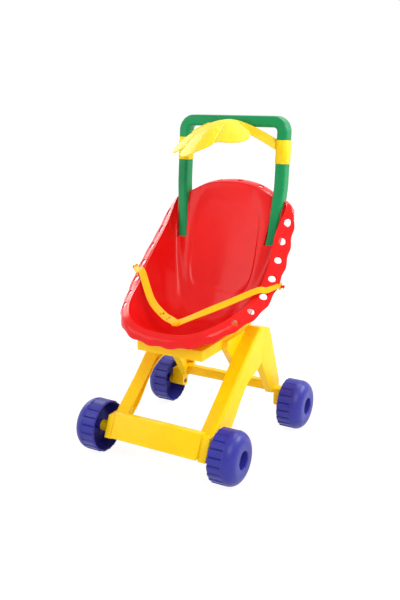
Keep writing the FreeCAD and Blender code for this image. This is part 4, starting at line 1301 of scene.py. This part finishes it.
    def upper_face(self) -> Array:
        """The whole upper face in rows: sole, ribs, a rounded fold at the rim, and the brim.

        The fold is the quadratic curve from the last rib row over the rim to the brim.

        Returns:
            A grid of shape (rows, columns, 3).
        """
        top = closed_curve(self.rim_loop, self.places)
        rise = closed_curve(self.rise_loop, self.places)
        lean = closed_curve(self.lean_loop, self.places)
        near = 1 - self.fillet / (3 * np.linalg.norm(rise, axis=1))
        ribs = self.ribs(np.linspace(0, 1, self.rib_rows)[:, None] * near[None, :])
        inwards = np.linspace(0, 1, self.sole_rows + 1)[:-1, None, None]
        sole = self.centre + (ribs[:1] - self.centre) * inwards
        first = ribs[-1]
        last = top + unit(lean) * self.fillet
        turn = np.linspace(0, 1, self.fold_rows + 2)[1:-1, None, None]
        fold = first * (1 - turn) ** 2 + top * (2 * turn * (1 - turn)) + last * turn**2
        reach = np.linalg.norm(lean, axis=1) + self.swell(self.places) - self.wall / 2
        run = np.linspace(0, 1, self.brim_rows)[:, None, None]
        brim = last + unit(lean) * (reach - self.fillet)[None, :, None] * run
        return np.concatenate([sole, ribs, fold, brim])

    def moulding(self) -> Shape:
        """The closed moulding: upper face, a half-round edge, and the under face one wall below.

        The upper face stands out by the rim's bead, a bell over its rows, and by the brim's crown, half
        a sine over the brim's width.

        Returns:
            The moulding.
        """
        upper = self.upper_face()
        down = np.gradient(upper, axis=0)
        ahead = np.roll(upper, -1, axis=1) - np.roll(upper, 1, axis=1)
        normal = unit(np.cross(ahead, down))
        low_rib = 2 * self.sole_rows
        normal = normal * np.sign(normal[low_rib, :, 2].mean())
        normal[: self.sole_rows + 1] = np.array([0.0, 0.0, 1.0])
        upper = self.with_panel(upper, normal)
        rows = np.arange(len(upper))[:, None, None]
        bead = self.bead * np.exp(-(((rows - self.bead_row) / self.bead_spread) ** 2))
        run = np.clip((rows - self.brim_row) / (len(upper) - 1 - self.brim_row), 0, 1)
        front = 1 - smooth_step(self.from_front(self.places), *self.crown_fade)
        crown = self.side_crown + (self.front_crown - self.side_crown) * front
        upper = upper + normal * (bead + np.sin(math.pi * run) * crown[None, :, None])
        under = upper - normal * self.wall
        outward = unit(upper[-1] - upper[-2])
        turn = np.linspace(0, math.pi, self.edge_rows + 2)[1:-1, None, None]
        half_round = (normal[-1] * np.cos(turn) + outward * np.sin(turn)) * self.wall / 2
        edge = (upper[-1] + under[-1]) / 2 + half_round
        return grid_shape(np.concatenate([upper, edge, under[::-1]]), wrap_columns=True)

    def with_panel(self, upper: Array, normal: Array) -> Array:
        """Press the back's broad panel in by a soft step where a fourth-power oval of x and z ends.

        Args:
            upper: the upper face's grid.
            normal: its normals, towards the doll.

        Returns:
            The grid with the panel pressed in.
        """
        across = np.abs(upper[..., 0] / MM) / self.panel_half[0]
        along = np.abs(upper[..., 2] / MM - self.panel_middle_z) / self.panel_half[1]
        reach = (across**4 + along**4) ** 0.25
        on_back = smooth_step(upper[..., 1] - AXLE_Y, *self.panel_from_y)
        pressed = (1 - smooth_step(reach, *self.panel_step)) * on_back
        return upper - normal * (pressed * self.panel_depth)[..., None]

    def hole_cutters(self) -> Shape:
        """Round cutters through both sides of the brim and through the crest.

        Returns:
            All the cutters.
        """
        cutters = []
        for number in range(self.hole_count):
            place = self.hole_place(number)
            lean = unit(closed_curve(self.lean_loop, place))[0]
            down = -unit(closed_curve(self.rise_loop, place))[0]
            axis = unit(down - lean * (down @ lean))
            cutters.append(self.drill(self.brim(place, 0.5)[0], axis, self.hole_radius).on_both_sides())
        crest = self.brim(np.linspace(*self.crest_places, self.crest_steps), 0.5)
        for spread in self.crest_spreads:
            x = (spread * self.crest_pitch - self.crest_shift) * MM
            near = crest[np.argmin(np.abs(crest[:, 0] - abs(x)))]
            centre = np.array([x, near[1], near[2]])
            cutters.append(self.drill(centre, np.array([0.0, 0.0, 1.0]), self.crest_radius))
        return cutters[0].joined(*cutters[1:])

    def drill(self, centre: Array, axis: Array, radius: float) -> Shape:
        """A round cutter along an axis, reaching as far to each side of its centre."""
        outline = np.array([(-self.drill_reach, radius), (self.drill_reach, radius)])
        return turned_bar(centre, axis, outline, self.drill_steps, self.drill_start)

    def slot_cutter(self) -> Shape:
        """A cutter through the back for the handle's right leg: open above, leaning with the leg.

        Returns:
            The cutter.
        """
        leaning = np.linspace(self.slot_floor_z, self.slot_lean_z, self.leg_steps)
        heights = np.array([*leaning, self.slot_open_z])
        centre = Handle(self.finishes).leg_at(heights)[0]
        loops = []
        for depth in self.slot_depths:
            level = np.full_like(heights, depth)
            left = np.stack([centre - self.slot_half, level, heights], 1)
            right = np.stack([centre + self.slot_half, level, heights], 1)
            loops.append(np.concatenate([left, right[::-1]]))
        return closed_tube(placed(np.array(loops)))

    def pocket(self) -> Shape:
        """Walls and a floor that line the slot behind the seat's back, beside the handle's right leg.

        Returns:
            The lining.
        """
        half, front, thick = self.pocket_floor
        heights = np.linspace(self.slot_floor_z - thick, self.pocket_top, self.leg_steps)
        x, y = Handle(self.finishes).leg_at(heights)
        reach = np.interp(heights, heights[[0, -1]], self.pocket_reach)
        back = self.pocket_back
        inner, outer = self.slot_half, self.slot_half + self.wall / MM
        blocks = []
        for near, far in ((inner, outer), (-outer, -inner)):
            corners = ((near, -reach), (far, -reach), (far, back), (near, back))
            blocks.append(np.stack([np.stack([x + a, y + b, heights], 1) for a, b in corners], 1))
        corners = ((-half, -front), (half, -front), (half, back), (-half, back))
        floor = np.array([(x[0] + a, y[0] + b, heights[0]) for a, b in corners])
        blocks.append(np.stack([floor, floor + np.array([0.0, 0.0, thick])]))
        shapes = [closed_tube(placed(loops)) for loops in blocks]
        return shapes[0].joined(*shapes[1:])

    def peg(self) -> Shape:
        """The right belt peg: a turned stub with a rounded head, standing out from the brim's edge.

        Returns:
            The peg.
        """
        place = self.hole_place(self.peg_hole)
        lean = closed_curve(self.lean_loop, place)[0]
        out = 1 + self.swell(place)[0] / np.linalg.norm(lean)
        edge = closed_curve(self.rim_loop, place)[0] + lean * out
        root = -2 * self.peg_radius
        head = [(self.peg_length + past * MM, self.peg_radius * share) for past, share in self.peg_head]
        profile = np.array([(root, 0.0), (root, self.peg_radius), *head])
        return grid_shape(turned(profile, edge, self.peg_steps), wrap_columns=True)

    def build(self) -> None:
        """Mould the seat, pierce and slot it, and add its belt pegs and the slots' linings."""
        bowl = mesh_from("seat_bowl", self.moulding())
        cut_away(bowl, self.hole_cutters().joined(self.slot_cutter().on_both_sides()))
        weld(bowl.data, WELD)
        pegs = mesh_from("belt_pegs", self.peg().on_both_sides())
        pockets = mesh_from("handle_pockets", self.pocket().on_both_sides())
        for piece in (bowl, pegs, pockets):
            shade(piece, self.crease_degrees)
            place_piece(piece, self.finishes.of(SEAT_RED), Body.CHASSIS, "seat_shell")


# ---------------------------------------------------------------- visor


@dataclass
class Visor:
    """The sun visor: three creased petals and a band in one thin sheet, on two collars.

    Turns and petal angles are in degrees from straight ahead, and positive to the right. Each crease is a
    depth and a spread in degrees. The leg line is the y and z of two points of the straight line that the
    handle's upper leg follows.
    """

    finishes: Finishes
    sheet: float = 1.8 * MM
    crown_y: float = 222.0
    crown_z: float = 554.0
    bow: float = 36.0
    bow_power: float = 1.6
    droop: float = 53.0
    twist: float = 27.0
    reach: float = 120.0
    centre_reach: float = 114.5
    centre_petal: float = 20.5
    centre_round: float = 0.6
    side_petal: float = 80.0
    side_fall: float = 1.3
    petal_turn: float = -4.0
    petal_round: float = 0.85
    petal_bulge: float = 41.0
    petal_root: float = 33.0
    petal_end: float = 30.0
    root_back: float = 2.0
    notch_left: float = 84.0
    notch_right: float = 90.0
    creases: Rows = ((2.8, 5.5), (2.0, 1.1))
    crease_start: float = 0.30
    rays: int = 321
    ray_steps: int = 40
    band: float = 16.0
    band_flare: float = 2.0
    band_inset: float = 0.3
    band_lift: float = 3.0
    band_tilt: float = 62.0
    band_tilt_run: float = 0.75
    band_steps: tuple[int, int] = (61, 9)
    sweep: float = 18.0
    leg_x: float = 96.0
    leg_line: tuple[float, float, float, float] = (239.5, 345.0, 256.0, 550.5)
    grip: Triple = (19.0, 26.0, 7.0)
    collar_z: tuple[float, float] = (480.0, 520.0)
    collar_wall: float = 1.2
    collar_gap: float = 0.3
    collar_ease: float = 0.4
    mouth_wall: float = 0.7
    collar_steps: int = 64
    crease_degrees: float = 50.0

    @property
    def face(self) -> float:
        """Distance from the mid-plane to a collar's inner face."""
        return self.leg_x - self.grip[0] / 2 - self.collar_gap - self.collar_wall

    def height(self, x: Array, y: Array) -> Array:
        """The sheet's height: the crown less a square droop forwards, a bow to the sides and a twist.

        Args:
            x: distance from the mid-plane.
            y: distance behind the front axle.

        Returns:
            Heights in millimetres.
        """
        forward = np.maximum((self.crown_y - y) / self.reach, 0)
        aside = x / self.face
        bow = self.bow * np.abs(aside) ** self.bow_power
        return self.crown_z - (self.droop * forward**2 - self.twist * forward * aside + bow)

    def edge_reach(self, turn: Array) -> Array:
        """Reach of the petals' edge: a flattened dome over the centre petal, a skewed one over each side.

        Args:
            turn: directions in degrees.

        Returns:
            The edge's distance from the crown in each direction, in millimetres.
        """
        off = np.abs(turn - self.petal_turn)
        left = turn < self.petal_turn
        notch = np.where(left, self.notch_left, self.notch_right)
        limit = self.side_petal + np.where(left, self.petal_turn, -self.petal_turn)
        inside = np.clip(1 - (off / self.centre_petal) ** 2, 0, 1)
        centre = notch + (self.centre_reach - notch) * inside**self.centre_round
        share = np.clip((off - self.centre_petal) / (limit - self.centre_petal), 0, 1)
        side = notch * (1 - share) ** self.side_fall + self.petal_end * share
        side = side + self.petal_bulge * np.sin(math.pi * share) ** self.petal_round
        return np.where(off < self.centre_petal, centre, side)

    def thickened(self, upper: Array) -> Shape:
        """A closed sheet: the upper grid, the same grid lowered along its normals, and a rim round both.

        Args:
            upper: the sheet's upper face, (rows, columns, 3).

        Returns:
            The closed shape.
        """
        normal = unit(np.cross(np.gradient(upper, axis=1), np.gradient(upper, axis=0)))
        normal = normal * np.sign(normal[..., 2].mean())
        under = upper - normal * self.sheet
        loops = [
            np.concatenate([grid[0, :-1], grid[:-1, -1], grid[-1, :0:-1], grid[:0:-1, 0]])
            for grid in (upper, under)
        ]
        rim = grid_shape(np.stack(loops), wrap_columns=True)
        top, bottom = grid_shape(upper), grid_shape(under)
        top = top if self.faces_up(top) else top.flipped()
        bottom = bottom.flipped() if self.faces_up(bottom) else bottom
        whole = top.joined(bottom, rim)
        other = top.joined(bottom, rim.flipped())
        return whole if volume(whole) > volume(other) else other

    @staticmethod
    def faces_up(shape: Shape) -> bool:
        """Whether a sheet's faces point up on the whole."""
        a, b, c = (shape.points[shape.quads[:, corner]] for corner in range(3))
        return float(np.cross(b - a, c - b)[:, 2].sum()) > 0

    def petals(self) -> Shape:
        """The petals: rays from root to edge, with a soft valley and a fine crease at each notch.

        Returns:
            The closed sheet.
        """
        turn = np.linspace(-self.side_petal, self.side_petal, self.rays)[None, :]
        share = np.linspace(0, 1, self.ray_steps)[:, None]
        angle = np.radians(turn)
        reach = self.edge_reach(turn)
        root_y = np.full_like(angle, self.crown_y + self.root_back)
        root = np.stack([self.petal_root * np.sin(angle), root_y], -1)
        edge = np.stack([reach * np.sin(angle), self.crown_y - reach * np.cos(angle)], -1)
        flat = root * (1 - share[..., None]) + edge * share[..., None]
        off = np.abs(turn - self.petal_turn) - self.centre_petal
        valley = sum(depth * np.exp(-((off / spread) ** 2)) for depth, spread in self.creases)
        z = self.height(flat[..., 0], flat[..., 1]) - valley * smooth_step(share, self.crease_start, 1.0)
        return self.thickened(placed(np.concatenate([flat, z[..., None]], axis=-1)))

    def arch(self) -> Shape:
        """The band: flat at the crown, tilting forwards as it bows down and sweeps back to both collars.

        Returns:
            The closed sheet.
        """
        half = self.face + self.collar_wall / 2
        x = np.linspace(-1, 1, self.band_steps[0])[:, None] * half
        aside = np.abs(x) / half
        tilt = np.radians(self.band_tilt) * smooth_step(aside, 0.0, self.band_tilt_run)
        run = np.linspace(0, 1, self.band_steps[1])[None, :] * (self.band + self.band_flare * aside)
        back = self.crown_y + self.sweep * aside**2 + self.band * (1 - self.band_inset * aside)
        top = self.height(x, np.full_like(x, self.crown_y)) + self.band_lift * aside
        y = back - run * np.cos(tilt)
        z = top - run * np.sin(tilt)
        return self.thickened(placed(np.stack([np.broadcast_to(x, y.shape), y, z], axis=-1)))

    def collar(self) -> Shape:
        """The right collar: a sleeve whose section is a rounded ring, its mouths eased.

        Returns:
            The closed sleeve.
        """
        y0, z0, y1, z1 = self.leg_line
        low, high = self.collar_z
        rise = np.array([0.0, (y1 - y0) / (z1 - z0), 1.0])
        across = np.array([1.0, 0.0, 0.0])
        along = np.cross(unit(rise), across)
        gap, wall = self.collar_gap, self.collar_wall
        eased = wall * self.mouth_wall
        steps = [(low, 0.0), (low, eased), (low + self.collar_ease, wall)]
        steps += [(high - self.collar_ease, wall), (high, eased), (high, 0.0)]
        rows = []
        for z, out in steps:
            width, depth = (size + 2 * (gap + out) for size in self.grip[:2])
            ring = rounded_ring(width, depth, self.grip[2] + gap + out, self.collar_steps)
            centre = np.array([self.leg_x, y0 + (z - z0) * rise[1], z])
            rows.append(centre + ring[:, :1] * across - ring[:, 1:] * along)
        return grid_shape(placed(np.array(rows)), wrap_rows=True, wrap_columns=True)

    def build(self) -> None:
        """Mould the visor and let it ride on its own body."""
        whole = self.petals().joined(self.arch(), self.collar().on_both_sides())
        piece = mesh_from("visor_moulding", whole)
        shade(piece, self.crease_degrees)
        place_piece(piece, self.finishes.of(VISOR_LEMON), Body.VISOR, "visor")


# ---------------------------------------------------------------- belt


@dataclass
class Belt:
    """Two soft straps that button together over the lap; each ends in an eye on its peg.

    A route's rows run from the free end to the peg: x, y, z and a share of the width, all drawn on the
    right. Facing's rows are a share of the way and the direction across the strap there. Each round of a
    keyhole is a row of the strap's grid, a radius and an offset across it. The button's outline is
    heights and radii.
    """

    finishes: Finishes
    width: float = 13.0 * MM
    thick: float = 1.8 * MM
    edge_round: float = 0.45
    rows: int = 90
    section_steps: int = 24
    overlap: float = 1.85 * MM
    overlap_run: tuple[float, float] = (0.10, 0.30)
    eye_radius: float = 6.5 * MM
    eye_hole: float = 2.6 * MM
    eye_x: float = 142.0 * MM
    eye_flat: tuple[float, float] = (1.4, 1.15)
    eye_steps: tuple[int, int] = (16, 48)
    start: Triple = (0.2, 0.9, 0.3)
    punch_reach: float = 4.0
    punch_steps: int = 24
    button_row: int = 11
    button_steps: int = 28
    crease_degrees: float = 45.0
    facing: Rows = ((0.0, -0.45, 0.71, 0.53), (0.35, 0.09, 0.77, 0.63), (1.0, 0.03, 0.92, 0.36))
    keyholes: Rows = ((27, 2.3, 1.9), (28, 1.7, -2.2), (34, 2.3, 1.9), (35, 1.7, -2.2))
    button_outline: Rows = ((-0.5, 2.2), (0.0, 2.2), (2.6, 2.2), (2.9, 3.2), (3.6, 2.9), (4.1, 1.6))
    left_route: Rows = (
        (-5.9, 45.8, 232.3, 0.6),
        (0.0, 48.0, 234.0, 1.0),
        (8.8, 51.3, 236.5, 1.0),
        (32.2, 62.8, 239.6, 1.0),
        (70.4, 85.4, 255.4, 1.0),
        (113.8, 123.7, 291.7, 1.0),
        (126.4, 130.7, 291.6, 1.0),
        (136.1, 139.2, 293.1, 0.82),
        (141.2, 145.0, 294.6, 0.70),
    )
    right_route: Rows = (
        (-5.8, 45.6, 232.2, 0.6),
        (0.0, 48.0, 234.0, 1.0),
        (8.6, 51.6, 236.7, 1.0),
        (42.9, 61.3, 253.7, 1.0),
        (79.1, 88.7, 270.8, 1.0),
        (113.0, 118.1, 287.3, 1.0),
        (126.0, 126.5, 287.9, 1.0),
        (135.9, 137.4, 291.6, 0.82),
        (141.2, 145.0, 294.6, 0.70),
    )

    def strap(self, side: Side) -> tuple[Shape, Array, Array, Array]:
        """One strap drawn on the right: a rounded flat section carried along its route.

        Args:
            side: whose route to follow.

        Returns:
            The strap, its centre line, its upward normals and its crosswise directions.
        """
        route = np.array(self.left_route if side is Side.LEFT else self.right_route)
        line = open_curve(route, self.rows)
        path = placed(line[:, :3])
        tangent = unit(np.gradient(path, axis=0))
        here = np.linspace(0, 1, self.rows)
        near, *ways = np.array(self.facing).T
        wide = np.stack([np.interp(here, near, way) for way in ways], axis=1)
        across = unit(wide - tangent * (wide * tangent).sum(axis=1, keepdims=True))
        up = np.cross(tangent, across)
        up = up * np.sign(up[:, 2].mean())
        if side is Side.LEFT:
            lifted = self.overlap * (1 - smooth_step(here, *self.overlap_run))
            path = path + up * lifted[:, None]
        ring = rounded_ring(self.width, self.thick, self.thick * self.edge_round, self.section_steps)
        share = np.minimum(line[:, 3], 1.0)
        rings = ring * np.stack([share, np.ones_like(share)], axis=-1)[:, None]
        return closed_tube(swept(path, rings, across, up)), path, up, across

    def eye(self) -> Shape:
        """The eye on the right peg: a flat ring turned about the peg.

        Its section is an oval whose sine and cosine are stretched and clipped, so its faces are flat.

        Returns:
            The closed ring.
        """
        turn = full_turn(self.eye_steps[0])
        middle = (self.eye_radius + self.eye_hole) / 2
        reach = (self.eye_radius - self.eye_hole) / 2
        x = self.eye_x + self.thick / 2 * np.clip(np.sin(turn) * self.eye_flat[0], -1, 1)
        radius = middle + reach * np.clip(np.cos(turn) * self.eye_flat[1], -1, 1)
        joint = next(joint for joint in frame["joints"] if joint["name"] == "belt_swing")
        centre = np.array([0.0, joint["pos_m"][1], joint["pos_m"][2]])
        grid = turned(np.stack([x, radius], 1), centre, self.eye_steps[1])
        return grid_shape(grid, wrap_rows=True, wrap_columns=True)

    def keyhole_cutters(self, path: Array, up: Array, across: Array) -> Shape:
        """Cutters for the keyholes, each a big round and a small one beside it.

        Args:
            path: the strap's centre line.
            up: its upward normals.
            across: its crosswise directions.

        Returns:
            All the cutters.
        """
        cutters = []
        for row, radius, offset in self.keyholes:
            outline = np.array([(-self.punch_reach, radius), (self.punch_reach, radius)]) * MM
            centre = path[row] + across[row] * offset * MM
            cutters.append(turned_bar(centre, up[row], outline, self.punch_steps, self.start))
        return cutters[0].joined(*cutters[1:])

    def button(self, path: Array, up: Array) -> Shape:
        """The button that joins the straps: a turned stud with a domed head."""
        outline = np.array(self.button_outline) * MM
        return turned_bar(path[self.button_row], up[self.button_row], outline, self.button_steps, self.start)

    def build(self) -> None:
        """Make both straps, punch the left one and add the button to the right one."""
        for side in Side:
            node = "belt_strap_" + side.word
            shape, path, up, across = self.strap(side)
            shape = shape.joined(self.eye())
            if side is Side.RIGHT:
                piece = mesh_from(node + "_soft", shape.joined(self.button(path, up)))
            else:
                piece = mesh_from(node + "_soft", shape.mirrored())
                cut_away(piece, self.keyhole_cutters(path, up, across).mirrored())
            shade(piece, self.crease_degrees)
            place_piece(piece, self.finishes.of(BELT_AMBER), Body.BELT, node)


# ---------------------------------------------------------------- studio


@dataclass(frozen=True)
class Lamp:
    """A square soft lamp that faces a point of the stroller's middle, with its power in watts."""

    name: str
    place: Triple
    aim_z: float
    size: float
    power: float

    def build(self) -> None:
        """Hang the lamp, turned to its point."""
        data = bpy.data.lights.new(self.name, "AREA")
        data.energy = self.power
        data.size = self.size
        lamp = new_object(self.name, data)
        lamp.location = self.place
        back = np.array(self.place) - np.array([0.0, 0.0, self.aim_z])
        yaw = math.atan2(back[1], back[0]) + math.pi / 2
        pitch = math.acos(back[2] / float(np.linalg.norm(back)))
        lamp.rotation_euler = (pitch, 0.0, yaw)


@dataclass
class Studio:
    """A white studio: camera, soft lamps, a pale floor and a plain world.

    Seen from the camera, the floor glows from floor_glow[0] under the stroller to white at a distance,
    and soft_grey lets the shadow show on that glow.
    """

    camera_place: Triple = (0.6122, -1.0907, 0.6070)
    camera_turn: float = 29.13
    camera_tilt: float = 15.71
    lens: float = 45.35
    sensor: float = 36.0
    sight: float = 50.0
    world_light: float = 0.62
    floor_half: float = 6.0
    floor_drop: float = 0.2 * MM
    floor_grey: float = 0.85
    soft_grey: float = 0.13
    floor_glow: tuple[float, float] = (0.92, 1.0)
    glow_run: tuple[float, float] = (0.15, 0.45)
    lamps: tuple[Lamp, ...] = (
        Lamp("key", (1.2, -0.9, 1.5), 0.25, 1.0, 16.0),
        Lamp("fill", (-1.3, -1.2, 0.9), 0.25, 1.2, 8.0),
        Lamp("left_edge", (-1.3, 0.6, 1.0), 0.3, 0.8, 9.0),
        Lamp("right_edge", (1.1, 1.0, 1.1), 0.3, 0.6, 17.0),
        Lamp("top_edge", (0.3, 1.0, 1.5), 0.4, 0.5, 6.5),
    )

    def build(self) -> None:
        """Set the camera, the lamps, the floor and the world."""
        self.camera()
        for lamp in self.lamps:
            lamp.build()
        self.floor()
        self.world()
        bpy.context.scene.view_settings.view_transform = "Standard"

    def camera(self) -> None:
        """Stand the camera in front, to the right, looking a little down."""
        data = bpy.data.cameras.new("camera")
        data.lens = self.lens
        data.sensor_width = self.sensor
        data.clip_end = self.sight
        camera = new_object("camera", data)
        camera.location = self.camera_place
        camera.rotation_euler = (math.radians(90 - self.camera_tilt), 0.0, math.radians(self.camera_turn))
        bpy.context.scene.camera = camera

    @staticmethod
    def grey(level: float) -> tuple[float, ...]:
        """A grey of some level, as a node's colour."""
        return opaque((level, level, level))

    @staticmethod
    def show(net: Net, plain: bpy.types.Node, seen: bpy.types.Node, output: bpy.types.Node) -> None:
        """Show one shader to the camera, gloss and glass, while another takes part in the light.

        Args:
            net: the net that both are in.
            plain: the shader for every other ray.
            seen: the shader that is seen.
            output: the output node.
        """
        path = net.node("LightPath").outputs
        looked = net.calculate("MAXIMUM", path["Is Camera Ray"], path["Is Glossy Ray"])
        looked = net.calculate("MAXIMUM", looked, path["Is Transmission Ray"])
        mix = net.node("MixShader", None, looked, plain.outputs[0], seen.outputs[0])
        net.feed(output.inputs["Surface"], mix.outputs[0])

    def floor(self) -> None:
        """Lay a pale floor that keeps only the soft shadow under the wheels."""
        run = np.linspace(-self.floor_half, self.floor_half, 3)
        x, y = np.meshgrid(run, run)
        flat = np.stack([x, y, np.full_like(x, -self.floor_drop)], axis=-1)
        floor = mesh_from("floor", grid_shape(flat))
        material, net, principled = new_material("floor_white")
        net.tree.nodes.remove(principled)
        matt = net.node("BsdfDiffuse", Color=self.grey(self.floor_grey))
        soft = net.node("BsdfDiffuse", Color=self.grey(self.soft_grey))
        where = net.node("TexCoord").outputs["Object"]
        far = net.node("VectorMath", {"operation": "LENGTH"}, where).outputs["Value"]
        level = net.ramp(far, self.glow_run, self.floor_glow)
        glow = net.node("Emission", Color=self.grey(1.0), Strength=level)
        seen = net.node("AddShader", None, soft.outputs[0], glow.outputs[0])
        self.show(net, matt, seen, net.tree.nodes["Material Output"])
        floor.data.materials.append(material)

    def world(self) -> None:
        """Light from all round at a plain level, and white where it is looked at."""
        world = bpy.data.worlds.new("white_room")
        bpy.context.scene.world = world
        world.use_nodes = True
        net = Net(world.node_tree)
        plain = net.tree.nodes["Background"]
        net.feed_all(plain, {"Color": self.grey(1.0), "Strength": self.world_light})
        seen = net.node("Background", Color=self.grey(1.0), Strength=1.0)
        self.show(net, plain, seen, net.tree.nodes["World Output"])


# ---------------------------------------------------------------- the whole stroller


def main() -> None:
    """Build every part of the stroller in order."""
    logging.basicConfig(level=logging.INFO, format="%(name)s: %(message)s")
    finishes = Finishes()
    for part in (Mouldings, Wheels, Handle, Seat, Visor, Belt):
        part(finishes).build()
    Studio().build()


if __name__ == "__main__":
    main()
